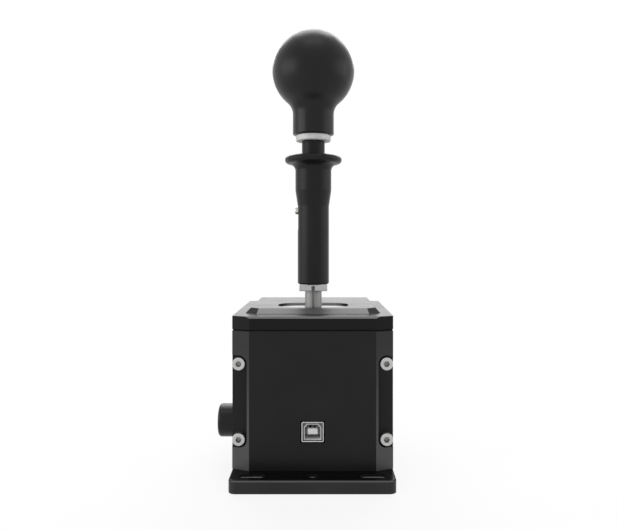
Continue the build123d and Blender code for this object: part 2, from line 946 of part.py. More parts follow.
def make_detent_plate():
    middle = pivot_height - detent_drop
    plate = slab(
        (-detent_plate_half_width, detent_plate_half_width),
        (lever_y + tail_flat, lever_y + detent_face),
        (middle - detent_plate_half_height, middle + detent_plate_half_height),
    )
    dimple_y = lever_y + detent_face + ball_radius - detent_dimple_depth
    dimple = Pos(0, dimple_y, middle) * Sphere(ball_radius)
    for gear in (-1, 0, 1):
        plate -= tilt_throw(dimple, gear * throw_limit)
    return plate


def make_lever_magnet():
    face = lever_y - tail_flat
    return bar_y(magnet_radius, (face - magnet_thickness, face), 0, pivot_height - sensing_drop)


def make_stop_collar():
    half = collar_width / 2
    collar = slab((-half, half), (lever_y - half, lever_y + half), (collar_bottom, collar_top))
    collar = chamfer(collar.edges(), collar_bevel)
    collar -= post(shaft_radius, (collar_bottom - overrun, collar_top + overrun), 0, lever_y)
    return collar - slab(
        (-collar_slit / 2, collar_slit / 2),
        (lever_y - half - overrun, lever_y),
        (collar_bottom - overrun, collar_top - collar_web),
    )


def make_spring_stop():
    span = (spring_stop_bottom, spring_stop_bottom + spring_stop_height)
    ring = post(sleeve_bore_radius - spring_stop_gap, span, 0, lever_y)
    return ring - post(shaft_radius, (span[0] - overrun, span[1] + overrun), 0, lever_y)


def make_lever_neck():
    neck = post(neck_radius, (neck_bottom, ring_bottom), 0, lever_y)
    return neck - post(shaft_radius, (neck_bottom - overrun, ring_bottom + overrun), 0, lever_y)


def make_knob_ring():
    ring = post(ring_radius, (ring_bottom, ring_top), 0, lever_y)
    ring = chamfer(ring.edges(), ring_bevel)
    return ring - post(shaft_radius, (ring_bottom - overrun, ring_top + overrun), 0, lever_y)


def make_knob_insert():
    insert = post(insert_radius, (ring_top, ring_top + insert_height), 0, lever_y)
    return insert - post(shaft_radius, (ring_top - overrun, shaft_top), 0, lever_y)


def make_shift_knob():
    """A ball on a flared neck; an arc that is tangent to both joins them."""
    fillet_x = knob_neck_radius + knob_fillet_radius
    reach = knob_radius + knob_fillet_radius
    fillet_z = knob_centre - math.sqrt(reach**2 - fillet_x**2)
    join_share = knob_radius / reach
    join = (fillet_x * join_share, knob_centre + (fillet_z - knob_centre) * join_share)
    start = (knob_neck_radius, fillet_z)
    middle_angle = (math.pi + math.atan2(join[1] - fillet_z, join[0] - fillet_x)) / 2
    middle = (
        fillet_x + knob_fillet_radius * math.cos(middle_angle),
        fillet_z + knob_fillet_radius * math.sin(middle_angle),
    )
    side = (knob_radius, knob_centre)
    top = (0, knob_centre + knob_radius)
    outline = [
        Line((0, ring_top), (knob_neck_radius - knob_foot_bevel, ring_top)),
        Line(
            (knob_neck_radius - knob_foot_bevel, ring_top),
            (knob_neck_radius, ring_top + knob_foot_bevel),
        ),
        Line((knob_neck_radius, ring_top + knob_foot_bevel), start),
        ThreePointArc(start, middle, join),
        ThreePointArc(join, side, top),
        Line(top, (0, ring_top)),
    ]
    knob = revolve(Plane.XZ * make_face(outline), axis=Axis.Z)
    knob -= post(insert_radius, (ring_top - overrun, ring_top + insert_height))
    return on_lever(knob)


def make_lift_sleeve():
    flange_bottom = sleeve_top - sleeve_flange_thickness
    grip_top = flange_bottom - sleeve_flange_fillet
    rim_radius = sleeve_flange_thickness / 2
    rim_x = sleeve_flange_radius - rim_radius
    rim_z = sleeve_top - rim_radius
    fillet_x = sleeve_grip_radius + sleeve_flange_fillet
    diagonal = sleeve_flange_fillet * math.sqrt(2) / 2
    mouth = neck_radius + slide_gap
    outline = [
        Line((0, sleeve_bottom), (sleeve_radius - sleeve_foot_bevel, sleeve_bottom)),
        Line(
            (sleeve_radius - sleeve_foot_bevel, sleeve_bottom),
            (sleeve_radius, sleeve_bottom + sleeve_foot_bevel),
        ),
        Line((sleeve_radius, sleeve_bottom + sleeve_foot_bevel), (sleeve_radius, sleeve_taper_bottom)),
        Line((sleeve_radius, sleeve_taper_bottom), (sleeve_grip_radius, sleeve_taper_top)),
        Line((sleeve_grip_radius, sleeve_taper_top), (sleeve_grip_radius, grip_top)),
        ThreePointArc(
            (sleeve_grip_radius, grip_top),
            (fillet_x - diagonal, grip_top + diagonal),
            (fillet_x, flange_bottom),
        ),
        Line((fillet_x, flange_bottom), (rim_x, flange_bottom)),
        ThreePointArc((rim_x, flange_bottom), (sleeve_flange_radius, rim_z), (rim_x, sleeve_top)),
        ThreePointArc(
            (rim_x, sleeve_top),
            ((rim_x + mouth) / 2, sleeve_top + sleeve_crown * sleeve_crown_share),
            (mouth, sleeve_top + sleeve_crown),
        ),
        Line((mouth, sleeve_top + sleeve_crown), (0, sleeve_top + sleeve_crown)),
        Line((0, sleeve_top + sleeve_crown), (0, sleeve_bottom)),
    ]
    sleeve = revolve(Plane.XZ * make_face(outline), axis=Axis.Z)
    guide_low = sleeve_top - sleeve_guide_height
    bush_top = sleeve_bottom + sleeve_bush_height
    sleeve -= post(mouth, (guide_low, sleeve_top + overrun))
    sleeve -= post(sleeve_bore_radius, (bush_top, guide_low))
    sleeve -= post(shaft_radius + slide_gap, (sleeve_bottom - overrun, bush_top))
    flat_x = -sleeve_radius + sleeve_flat_depth
    flat_half = sleeve_flat_width / 2
    sleeve -= slab(
        (-sleeve_grip_radius, flat_x),
        (-flat_half, flat_half),
        (sleeve_flat_bottom, cross_screw_height),
    )
    for z in (sleeve_flat_bottom, cross_screw_height):
        sleeve -= bar_x(flat_half, (-sleeve_grip_radius, flat_x), 0, z)
    sleeve -= bar_x(cross_screw_radius, (-sleeve_radius, 0), 0, cross_screw_height)
    return on_lever(sleeve)


def make_cross_screw():
    seat = -sleeve_radius + sleeve_flat_depth
    shank = bar_x(cross_screw_radius, (seat, 0), lever_y, cross_screw_height)
    head = bar_x(
        cross_screw_head_radius, (seat - cross_screw_head_height, seat), lever_y, cross_screw_height
    )
    rounding = cross_screw_head_height * cross_screw_round_share
    head = fillet(head.edges().group_by(Axis.X)[0], rounding)
    hexagon = Pos(seat - cross_screw_head_height, lever_y, cross_screw_height) * Rot(0, 90, 0)
    socket = extrude(hexagon * RegularPolygon(cross_screw_hex_radius, 6), amount=cross_screw_hex_depth)
    return head + shank - socket


def make_pull_rod():
    head_low = cross_screw_height - rod_head_height / 2
    head_high = cross_screw_height + rod_head_height / 2
    rod = post(rod_radius, (rod_bottom, head_low), 0, lever_y)
    rod += post(rod_head_radius, (head_low, head_high), 0, lever_y)
    return rod - bar_x(cross_screw_radius, (-rod_head_radius - overrun, 0), lever_y, cross_screw_height)


def make_sleeve_spring():
    low = sleeve_bottom + sleeve_bush_height
    spring = coil(
        sleeve_spring_radius, sleeve_spring_wire, spring_stop_bottom - low, sleeve_spring_turns
    )
    return Pos(0, lever_y, low) * spring


def lane_offset(angle):
    """How far a lane lies from the lever's line at the gate, on the way the foot swings."""
    return math.tan(math.radians(angle)) * (pivot_height - (gate_bottom + gate_top) / 2)


def gate_post_places():
    for x in (-gate_post_offset, gate_post_offset):
        for y in (lever_y - gate_front + gate_post_inset, lever_y + gate_rear - gate_post_inset):
            yield x, y


def make_gate_plate():
    plate = slab(
        (-gate_half_width, gate_half_width),
        (lever_y - gate_front, lever_y + gate_rear),
        (gate_bottom, gate_top),
    )
    through = (gate_bottom - overrun, gate_top + overrun)
    half_slot = gate_slot_width / 2
    reach = pivot_height - gate_bottom
    lane_length = 2 * (tan_throw * reach + half_slot)
    for angle in (-lane_limit, 0, lane_limit):
        plate -= slot_prism(lane_length, gate_slot_width, through, 0, lever_y + lane_offset(angle))
    reverse_y = lever_y - lane_offset(reverse_lane_angle)
    plate -= slot_prism(lane_length / 2, gate_slot_width, through, lane_length / 4, reverse_y)
    neutral_end = lever_y + lane_offset(lane_limit)
    plate -= slab((-half_slot, half_slot), (reverse_y, neutral_end), through)
    for x, y in gate_post_places():
        plate -= post(gate_screw_radius, through, x, y)
    return plate


def make_gate_posts():
    posts = []
    for x, y in gate_post_places():
        pillar = post(gate_post_radius, (base_top, gate_bottom), x, y)
        pillar -= post(gate_screw_radius, (gate_top - gate_screw_length, gate_bottom), x, y)
        posts.append(pillar)
    return posts


def make_gate_screws():
    screws = []
    for x, y in gate_post_places():
        screw = post(gate_screw_radius, (gate_top - gate_screw_length, gate_top), x, y)
        head = (gate_top, gate_top + gate_screw_head_height)
        screws.append(screw + post(gate_screw_head_radius, head, x, y))
    return screws


def make_lockout_block():
    front = lever_y - lockout_setback - lockout_depth
    block = slab(
        (-lockout_half_width, lockout_half_width),
        (front, front + lockout_depth),
        (base_top, base_top + lockout_height),
    )
    return chamfer(block.edges().group_by(Axis.Z)[-1], block_bevel)


def plunger_head_front():
    """Where the plunger's head stops when its nose is on the cam's plain face."""
    return -housing_inner_x - housing_end_wall - cam_notch_depth


def make_plunger_housing():
    housing = bar_x(housing_radius, (-housing_outer_x, -housing_inner_x), lever_y, adjuster_height)
    bore = (-housing_outer_x + housing_end_wall, -housing_inner_x - housing_end_wall)
    housing -= bar_x(housing_bore_radius, bore, lever_y, adjuster_height)
    outer_end = (-housing_outer_x - overrun, bore[0])
    housing -= bar_x(adjuster_screw_radius + running_gap, outer_end, lever_y, adjuster_height)
    inner_end = (bore[1], -housing_inner_x + overrun)
    housing -= bar_x(plunger_nose_radius + running_gap, inner_end, lever_y, adjuster_height)
    return housing


def make_centring_plunger():
    tip = -cam_face_x - slide_gap
    front = plunger_head_front()
    dome = tip - plunger_nose_radius
    plunger = bar_x(plunger_nose_radius, (front, dome), lever_y, adjuster_height)
    plunger += Pos(dome, lever_y, adjuster_height) * Sphere(plunger_nose_radius)
    head = (front - plunger_head_thickness, front)
    return plunger + bar_x(housing_bore_radius - slide_gap, head, lever_y, adjuster_height)


def seat_span():
    """The spring seat's place when the adjuster is fully slack."""
    back = -housing_outer_x + housing_end_wall + adjuster_collar_width + 2 * slide_gap
    return back, back + seat_thickness


def make_spring_seat():
    back, front = seat_span()
    seat = bar_x(housing_bore_radius - slide_gap, (back, front), lever_y, adjuster_height)
    bore = (back - overrun, front + overrun)
    return seat - bar_x(adjuster_screw_radius + running_gap, bore, lever_y, adjuster_height)


def make_centring_spring():
    start = seat_span()[1]
    end = plunger_head_front() - plunger_head_thickness
    spring = coil(
        centring_spring_radius, centring_spring_wire, end - start, centring_spring_turns
    )
    return Pos(start, lever_y, adjuster_height) * Rot(0, 90, 0) * spring


def make_adjuster_screw():
    knob_face = -half_width - adjuster_knob_gap
    tip = seat_span()[1] + adjuster_turns * adjuster_pitch
    screw = bar_x(
        adjuster_screw_radius, (knob_face - adjuster_screw_grip, tip), lever_y, adjuster_height
    )
    collar_back = -housing_outer_x + housing_end_wall + slide_gap
    collar = (collar_back, collar_back + adjuster_collar_width)
    return screw + bar_x(adjuster_collar_radius, collar, lever_y, adjuster_height)


def make_adjuster_knob():
    face = -half_width - adjuster_knob_gap
    end = face - adjuster_knob_length
    knob = bar_x(adjuster_knob_radius, (end, face), lever_y, adjuster_height)
    knob = fillet(knob.edges().group_by(Axis.X)[0], adjuster_knob_round)
    hole = (face - adjuster_screw_grip, face + overrun)
    return knob - bar_x(adjuster_screw_radius, hole, lever_y, adjuster_height)


def usb_box(margin, y_span):
    """A block of the socket's outer size, smaller by a margin on each side."""
    half_x = usb_width / 2 - margin
    half_z = usb_tall / 2 - margin
    return slab((-half_x, half_x), y_span, (usb_height - half_z, usb_height + half_z))


def usb_front():
    return -half_length + usb_setback


def make_usb_shell():
    back = usb_front() + usb_depth
    shell = usb_box(0, (usb_front(), back))
    return shell - usb_box(usb_wall, (usb_front() - overrun, back - usb_wall))


def make_usb_insulator():
    front = usb_front() + usb_wall
    back = usb_front() + usb_depth - usb_wall
    body = usb_box(usb_wall, (front, back))
    mouth_x = usb_mouth_width / 2
    mouth_z = usb_mouth_tall / 2
    mouth = [
        (-mouth_x, -mouth_z),
        (mouth_x, -mouth_z),
        (mouth_x, mouth_z - usb_mouth_cut),
        (mouth_x - usb_mouth_cut, mouth_z),
        (-mouth_x + usb_mouth_cut, mouth_z),
        (-mouth_x, mouth_z - usb_mouth_cut),
    ]
    outline = Pos(0, front - overrun, usb_height) * Rot(90, 0, 0) * make_face(
        Polyline(*mouth, close=True)
    )
    body -= extrude(outline, amount=usb_mouth_depth + overrun, dir=(0, 1, 0))
    tongue_back = front + usb_mouth_depth
    tongue = slab(
        (-usb_tongue_width / 2, usb_tongue_width / 2),
        (tongue_back - usb_tongue_length, tongue_back),
        (usb_height - usb_tongue_tall / 2, usb_height + usb_tongue_tall / 2),
    )
    return body + tongue


def make_usb_contacts():
    contacts = []
    back = usb_front() + usb_wall + usb_mouth_depth
    span = (back - usb_contact_length, back)
    for side in (-1, 1):
        face = usb_height + side * usb_tongue_tall / 2
        z_span = sorted((face, face + side * usb_contact_thickness))
        for x in (-usb_contact_pitch / 2, usb_contact_pitch / 2):
            x_span = (x - usb_contact_width / 2, x + usb_contact_width / 2)
            contacts.append(slab(x_span, span, z_span))
    return contacts


def board_spans():
    front = -panel_inner_y + board_front_gap
    return (-board_half_width, board_half_width), (front, board_rear_y)


def standoff_places():
    _, (front, rear) = board_spans()
    for x in (-standoff_x, standoff_x):
        for y in (front + standoff_inset, rear - standoff_inset):
            yield x, y


def make_circuit_board():
    x_span, y_span = board_spans()
    board = slab(x_span, y_span, (board_bottom, board_top))
    for x, y in standoff_places():
        board -= post(board_screw_radius, (board_bottom - overrun, board_top + overrun), x, y)
    return board


def make_board_standoffs():
    standoffs = []
    for x, y in standoff_places():
        standoff = post(standoff_radius, (base_top, board_bottom), x, y)
        hole = (board_top - board_screw_length, board_bottom)
        standoffs.append(standoff - post(board_screw_radius, hole, x, y))
    return standoffs


def make_board_screws():
    screws = []
    for x, y in standoff_places():
        screw = post(board_screw_radius, (board_top - board_screw_length, board_top), x, y)
        head = (board_top, board_top + board_screw_head_height)
        screws.append(screw + post(board_screw_head_radius, head, x, y))
    return screws


def make_board_parts():
    _, (front, rear) = board_spans()
    middle = (front + rear) / 2
    half_chip = chip_size / 2
    chip = slab(
        (chip_x - half_chip, chip_x + half_chip),
        (middle - half_chip, middle + half_chip),
        (board_top, board_top + chip_height),
    )
    crystal_x = -chip_x
    crystal = slab(
        (crystal_x - crystal_length / 2, crystal_x + crystal_length / 2),
        (middle - crystal_width / 2, middle + crystal_width / 2),
        (board_top, board_top + crystal_height),
    )
    capacitor_x = crystal_x - crystal_length / 2 - capacitor_radius - free_gap
    capacitor = post(
        capacitor_radius, (board_top, board_top + capacitor_height), capacitor_x, middle
    )
    return [chip, crystal, capacitor]


def make_sensor_board():
    return slab(
        (-sensor_board_half_width, sensor_board_half_width),
        (board_rear_y - board_thickness, board_rear_y),
        (board_top, board_top + sensor_board_height),
    )


def make_hall_sensor():
    half = sensor_chip_size / 2
    middle = pivot_height - sensing_drop
    return slab(
        (-half, half),
        (board_rear_y, board_rear_y + sensor_chip_thickness),
        (middle - half, middle + half),
    )


def make_pin_header():
    rear = board_rear_y - board_thickness
    return slab(
        (-header_half_width, header_half_width),
        (rear - header_depth, rear),
        (board_top, board_top + header_height),
    )


NODES = {
    "base_plate": make_base_plate,
    "front_panel": make_front_panel,
    "rear_panel": make_rear_panel,
    "left_side_plate": make_left_side_plate,
    "right_side_plate": make_right_side_plate,
    "top_cover": make_top_cover,
    "panel_screws": make_panel_screws,
    "tie_screws": make_tie_screws,
    "dust_guide": make_dust_guide,
    "guide_screws": make_guide_screws,
    "dust_plate_lower": make_dust_plate_lower,
    "dust_plate_upper": make_dust_plate_upper,
    "lane_bearings": make_lane_bearings,
    "gimbal_yoke": make_gimbal_yoke,
    "lane_shafts": make_lane_shafts,
    "throw_bushes": make_throw_bushes,
    "lane_cam": make_lane_cam,
    "cam_screws": make_cam_screws,
    "throw_bumpers": make_throw_bumpers,
    "detent_body": make_detent_body,
    "detent_ball": make_detent_ball,
    "detent_spring": make_detent_spring,
    "detent_lock_nut": make_lock_nut,
    "lever_shaft": make_lever_shaft,
    "pivot_block": make_pivot_block,
    "throw_pins": make_throw_pins,
    "detent_plate": make_detent_plate,
    "lever_magnet": make_lever_magnet,
    "stop_collar": make_stop_collar,
    "spring_stop": make_spring_stop,
    "lever_neck": make_lever_neck,
    "knob_ring": make_knob_ring,
    "knob_insert": make_knob_insert,
    "shift_knob": make_shift_knob,
    "lift_sleeve": make_lift_sleeve,
    "cross_screw": make_cross_screw,
    "pull_rod": make_pull_rod,
    "sleeve_spring": make_sleeve_spring,
    "gate_plate": make_gate_plate,
    "gate_posts": make_gate_posts,
    "gate_screws": make_gate_screws,
    "lockout_block": make_lockout_block,
    "adjuster_knob": make_adjuster_knob,
    "adjuster_screw": make_adjuster_screw,
    "spring_seat": make_spring_seat,
    "centring_spring": make_centring_spring,
    "centring_plunger": make_centring_plunger,
    "plunger_housing": make_plunger_housing,
    "circuit_board": make_circuit_board,
    "board_parts": make_board_parts,
    "board_standoffs": make_board_standoffs,
    "board_screws": make_board_screws,
    "usb_shell": make_usb_shell,
    "usb_insulator": make_usb_insulator,
    "usb_contacts": make_usb_contacts,
    "sensor_board": make_sensor_board,
    "hall_sensor": make_hall_sensor,
    "pin_header": make_pin_header,
}

os.makedirs("parts", exist_ok=True)
for name, make in NODES.items():
    shape = make()
    if isinstance(shape, list):
        shape = Compound(children=shape)
    export_step(shape, f"parts/{name}.step")
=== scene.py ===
import math

import bmesh
import bpy
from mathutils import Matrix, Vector


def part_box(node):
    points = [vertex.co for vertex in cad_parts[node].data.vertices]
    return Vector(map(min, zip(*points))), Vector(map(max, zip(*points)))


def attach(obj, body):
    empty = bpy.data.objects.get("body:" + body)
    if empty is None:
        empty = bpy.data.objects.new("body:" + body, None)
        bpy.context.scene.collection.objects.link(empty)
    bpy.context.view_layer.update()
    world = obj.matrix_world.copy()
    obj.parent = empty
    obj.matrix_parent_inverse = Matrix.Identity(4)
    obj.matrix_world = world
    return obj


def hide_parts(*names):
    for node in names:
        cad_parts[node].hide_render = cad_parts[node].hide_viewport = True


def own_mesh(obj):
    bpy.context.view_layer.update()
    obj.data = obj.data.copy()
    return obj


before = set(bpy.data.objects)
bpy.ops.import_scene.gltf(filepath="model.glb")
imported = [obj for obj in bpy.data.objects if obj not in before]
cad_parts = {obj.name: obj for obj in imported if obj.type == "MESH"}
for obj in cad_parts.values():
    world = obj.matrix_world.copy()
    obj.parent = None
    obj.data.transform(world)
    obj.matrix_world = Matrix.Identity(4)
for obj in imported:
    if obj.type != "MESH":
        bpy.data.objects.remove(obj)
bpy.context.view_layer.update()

scene = bpy.context.scene
scene.view_settings.view_transform = "Standard"
WHITE = (1.0, 1.0, 1.0, 1.0)

# Camera: level, at half the object's height and a little right of the lever, its lens shifted left and down.
EYE = (0.004, -0.410, 0.1304)
FOCAL_LENGTH = 38.8
SENSOR_WIDTH = 36.0
LENS_SHIFT = (-0.01864, -0.03566)
NEAR_CLIP = 0.01
camera_data = bpy.data.cameras.new("camera")
camera_data.sensor_width = SENSOR_WIDTH
camera_data.lens = FOCAL_LENGTH
camera_data.shift_x, camera_data.shift_y = LENS_SHIFT
camera_data.clip_start = NEAR_CLIP
camera_data.dof.use_dof = False
camera = bpy.data.objects.new("camera", camera_data)
camera.location = EYE
camera.rotation_euler = (math.pi / 2, 0.0, 0.0)
scene.collection.objects.link(camera)
scene.camera = camera

# Lamps: large softboxes round the object and facing it.
LAMP_AIM = Vector((0.0, 0.0, 0.10))


def soft_lamp(name, place, width, height, radiance):
    """A rectangular softbox; a radiance of 1 looks white."""
    data = bpy.data.lights.new(name, "AREA")
    data.shape = "RECTANGLE"
    data.size = width
    data.size_y = height
    data.energy = radiance * math.pi * width * height
    lamp = bpy.data.objects.new(name, data)
    lamp.location = place
    lamp.rotation_euler = (LAMP_AIM - lamp.location).to_track_quat("-Z", "Y").to_euler()
    lamp.visible_camera = False
    scene.collection.objects.link(lamp)


soft_lamp("softbox_left", (-1.50, -0.55, 0.30), width=1.30, height=0.90, radiance=2.2)
soft_lamp("softbox_right", (1.50, -0.15, 0.30), width=1.20, height=0.90, radiance=0.9)
soft_lamp("softbox_top", (0.0, -0.45, 1.50), width=0.90, height=0.60, radiance=1.2)
soft_lamp("softbox_rear", (0.0, 1.15, 1.00), width=1.50, height=0.86, radiance=4.0)
soft_lamp("softbox_high", (0.0, 0.62, 1.45), width=1.00, height=0.50, radiance=3.0)
soft_lamp("softbox_low", (0.0, 1.60, 0.26), width=1.70, height=0.26, radiance=0.20)


class Nodes:
    """A node tree under construction, with short calls for its nodes."""

    def __init__(self, tree, output):
        self.tree = tree
        tree.nodes.clear()
        self.out = self.add(output)

    def add(self, kind, **settings):
        node = self.tree.nodes.new(kind)
        for key, value in settings.items():
            setattr(node, key, value)
        return node

    def link(self, source, socket):
        self.tree.links.new(source, socket)

    def feed(self, source, socket):
        """Gives the socket a colour, a number or another node's output."""
        if isinstance(source, tuple):
            socket.default_value = (*source, 1.0)
        elif isinstance(source, (int, float)):
            socket.default_value = source
        else:
            self.link(source, socket)

    def math(self, operation, *sources, clamp=False):
        node = self.add("ShaderNodeMath", operation=operation, use_clamp=clamp)
        for source, socket in zip(sources, node.inputs):
            self.feed(source, socket)
        return node.outputs[0]

    def light(self, kind, strength):
        """Plain white light from a background or an emission node."""
        node = self.add(kind)
        node.inputs["Color"].default_value = WHITE
        node.inputs["Strength"].default_value = strength
        return node.outputs[0]

    def seen(self):
        """1 for what the camera sees, straight or through gloss or glass, and 0 for light on the object."""
        rays = self.add("ShaderNodeLightPath").outputs
        result = rays["Is Camera Ray"]
        for kind in ("Is Glossy Ray", "Is Transmission Ray"):
            result = self.math("ADD", result, rays[kind], clamp=True)
        return result

    def blend(self, factor, first, second):
        """Puts out the first shader where the factor is 0 and the second where it is 1."""
        node = self.add("ShaderNodeMixShader")
        for source, socket in zip((factor, first, second), node.inputs):
            self.link(source, socket)
        self.link(node.outputs[0], self.out.inputs["Surface"])


# World: white to the eye and in reflections, plain soft light on the object.
SKY_LIGHT = 0.45
SKY_WHITE = 1.0
world = bpy.data.worlds.new("world")
world.use_nodes = True
scene.world = world
sky = Nodes(world.node_tree, "ShaderNodeOutputWorld")
sky.blend(
    sky.seen(),
    sky.light("ShaderNodeBackground", SKY_LIGHT),
    sky.light("ShaderNodeBackground", SKY_WHITE),
)


def shade(color, factor):
    """The colour made darker or paler."""
    return tuple(min(1.0, part * factor) for part in color)


# The black coat where it is worn; and the cut bevels' paler tone, a painted highlight on the cut edge.
RUBBED_BLACK = (0.10, 0.10, 0.105)
CUT_EDGE_HIGHLIGHT = (0.12, 0.12, 0.122)

# The mix node's places for its factor and its two inputs, and for its output, by kind.
MIX_SOCKETS = {"RGBA": ((0, 6, 7), 2), "FLOAT": ((0, 2, 3), 0)}


class Shader(Nodes):
    """A material under construction."""

    def __init__(self, name):
        self.material = bpy.data.materials.new(name)
        self.material.use_nodes = True
        super().__init__(self.material.node_tree, "ShaderNodeOutputMaterial")
        self.coords = self.add("ShaderNodeTexCoord").outputs["Object"]

    def noise(self, scale, detail=3.0, roughness=0.55, stretch=None):
        """Soft noise with so many lumps a metre, drawn out where it is stretched."""
        node = self.add("ShaderNodeTexNoise")
        node.inputs["Scale"].default_value = scale
        node.inputs["Detail"].default_value = detail
        node.inputs["Roughness"].default_value = roughness
        self.link(self.stretched(stretch) if stretch else self.coords, node.inputs["Vector"])
        return node.outputs["Fac"]

    def stretched(self, scale):
        node = self.add("ShaderNodeMapping")
        node.inputs["Scale"].default_value = scale
        self.link(self.coords, node.inputs["Vector"])
        return node.outputs[0]

    def tool_marks(self, marks, detail):
        """Fine lines left by a tool, so many a metre along each axis."""
        return self.noise(scale=1.0, detail=detail, stretch=marks)

    def remap(self, value, span, to):
        """The value eased from one span to another."""
        node = self.add("ShaderNodeMapRange", interpolation_type="SMOOTHSTEP")
        for key, level in zip(("From Min", "From Max", "To Min", "To Max"), (*span, *to)):
            node.inputs[key].default_value = level
        self.link(value, node.inputs["Value"])
        return node.outputs[0]

    def ramp(self, value, low, high, span=(0.3, 0.7)):
        """One colour turning into another as the value crosses the span."""
        node = self.add("ShaderNodeValToRGB")
        for element, place, color in zip(node.color_ramp.elements, span, (low, high)):
            element.position = place
            element.color = (*color, 1.0)
        self.link(value, node.inputs[0])
        return node.outputs["Color"]

    def mix(self, factor, first, second, kind="RGBA"):
        """The first colour where the factor is 0 and the second where it is 1, or numbers with FLOAT."""
        node = self.add("ShaderNodeMix", data_type=kind)
        places, result = MIX_SOCKETS[kind]
        for source, place in zip((factor, first, second), places):
            self.feed(source, node.inputs[place])
        return node.outputs[result]

    def split(self, vector):
        node = self.add("ShaderNodeSeparateXYZ")
        self.link(vector, node.inputs[0])
        return node.outputs

    def places(self):
        """How far right, back and up the surface point is, in metres."""
        return self.split(self.coords)

    def facing(self):
        """How far right, back and up the surface faces, each from -1 to 1."""
        return self.split(self.add("ShaderNodeTexCoord").outputs["Normal"])

    def size(self, value):
        """The value without its sign."""
        return self.math("ABSOLUTE", value)

    def above(self, value, level, soft):
        """A mask that is 1 above the level and 0 below it, with a soft border."""
        return self.remap(value, span=(level - soft, level + soft), to=(0.0, 1.0))

    def below(self, value, level, soft):
        return self.remap(value, span=(level - soft, level + soft), to=(1.0, 0.0))

    def within(self, value, low, high, soft):
        return self.both(self.above(value, low, soft), self.below(value, high, soft))

    def both(self, *masks):
        """The masks multiplied: 1 only where each of them is."""
        result = masks[0]
        for mask in masks[1:]:
            result = self.math("MULTIPLY", result, mask)
        return result

    def either(self, first, second):
        return self.math("MAXIMUM", first, second)

    def rounded(self, radius):
        """The surface's direction with its edges rounded."""
        node = self.add("ShaderNodeBevel", samples=6)
        node.inputs["Radius"].default_value = radius
        return node.outputs[0]

    def near_edge(self, rounded):
        """1 on the edges that the rounded direction softens, 0 away from them."""
        plain = self.add("ShaderNodeNewGeometry").outputs["Normal"]
        node = self.add("ShaderNodeVectorMath", operation="DOT_PRODUCT")
        self.link(rounded, node.inputs[0])
        self.link(plain, node.inputs[1])
        return self.remap(node.outputs["Value"], span=(0.80, 0.995), to=(1.0, 0.0))

    def edged(self, tone, rounded, share, color):
        """The tone with its edges turned by that share into another colour."""
        return self.mix(self.both(self.near_edge(rounded), share), tone, color)

    def worn(self, tone, rounded, patch_scale, wear):
        """The tone with its coat rubbed thin near the edges, in patches."""
        patches = self.remap(self.noise(patch_scale, detail=3.0), span=(0.38, 0.68), to=(0.15, 1.0))
        return self.edged(tone, rounded, self.both(patches, wear), RUBBED_BLACK)

    def clouded(self, color, scale, detail, shades, span=(0.3, 0.7)):
        """The colour in soft clouds, from the first shade of it to the second."""
        dark, pale = shades
        return self.ramp(self.noise(scale, detail), shade(color, dark), shade(color, pale), span)

    def satin(self, rough, drift=0.05):
        """A roughness that drifts a little over the surface."""
        smudges = self.noise(scale=21.0, detail=5.0, roughness=0.6)
        return self.remap(smudges, span=(0.35, 0.7), to=(rough - drift, rough + drift))

    def bump(self, height, strength, distance, normal):
        node = self.add("ShaderNodeBump")
        node.inputs["Strength"].default_value = strength
        node.inputs["Distance"].default_value = distance
        self.link(height, node.inputs["Height"])
        self.link(normal, node.inputs["Normal"])
        return node.outputs[0]

    def blasted(self, strength, normal):
        """The fine even grain of a blasted and coated surface."""
        return self.bump(self.noise(scale=2600.0, detail=2.0), strength, distance=0.00004, normal=normal)

    def surface(self, color, roughness, normal, metallic=0.0, specular=0.5):
        """The finished material."""
        shader = self.add("ShaderNodeBsdfPrincipled")
        self.link(color, shader.inputs["Base Color"])
        self.link(roughness, shader.inputs["Roughness"])
        self.link(normal, shader.inputs["Normal"])
        shader.inputs["Metallic"].default_value = metallic
        shader.inputs["Specular IOR Level"].default_value = specular
        self.link(shader.outputs[0], self.out.inputs["Surface"])
        return self.material


# The walls: their foot and top above the floor, and the milled corner cuts' tone at each, paler towards the
# foot as a painted reflection.
WALL_FOOT = 0.0070
WALL_TOP = 0.0830
CUT_SHEEN_AT_FOOT = (0.102, 0.102, 0.103)
CUT_SHEEN_AT_TOP = (0.037, 0.037, 0.038)


def housing_finish(name, color, rough, specular):
    """The four walls: satin black, with milled corner cuts in a paler tone, paler still towards the foot as
    a painted reflection.
    """
    s = Shader(name)
    height = s.places()[2]
    to_side, to_end = [s.size(part) for part in s.facing()[:2]]
    normal = s.rounded(0.00035)
    tone = s.clouded(color, scale=38.0, detail=4.0, shades=(0.9, 1.12))
    tone = s.worn(tone, normal, patch_scale=420.0, wear=0.35)
    # The milled corner cuts: paler, and paler still towards the foot as a painted reflection.
    corner_cut = s.both(s.within(to_side, 0.30, 0.50, soft=0.02), s.above(to_end, 0.85, soft=0.02))
    rise = s.remap(height, span=(WALL_FOOT, WALL_TOP), to=(0.0, 1.0))
    tone = s.mix(corner_cut, tone, s.ramp(rise, CUT_SHEEN_AT_FOOT, CUT_SHEEN_AT_TOP, span=(0.0, 1.0)))
    return s.surface(tone, s.satin(rough), s.blasted(0.10, normal), specular=specular)


# The base plate: heights above the floor, distances from its middle to both ends or sides, and its looks.
BASE_TOP = 0.0070
BEVEL_MIDDLE = BASE_TOP - 0.00032
RIM_FOOT = BASE_TOP - 0.0012
SLOT_WALL_FOOT = 0.0003
BASE_END = 0.0650
END_BEVEL = BASE_END - 0.0010
END_WORN = BASE_END - 0.0015
OPENINGS_END = BASE_END - 0.0025
SLOT_ROW = 0.05775
SLOT_ROW_HALF = 0.0026
SLOT_ROW_SIDE = 0.0432
BASE_SLOT_PAINTED_LIGHT = (0.34, 0.34, 0.34)
TOP_PAINTED_SHADE = 0.12
TOP_ROUGH = 0.16
RIM_ROUGH = 0.95


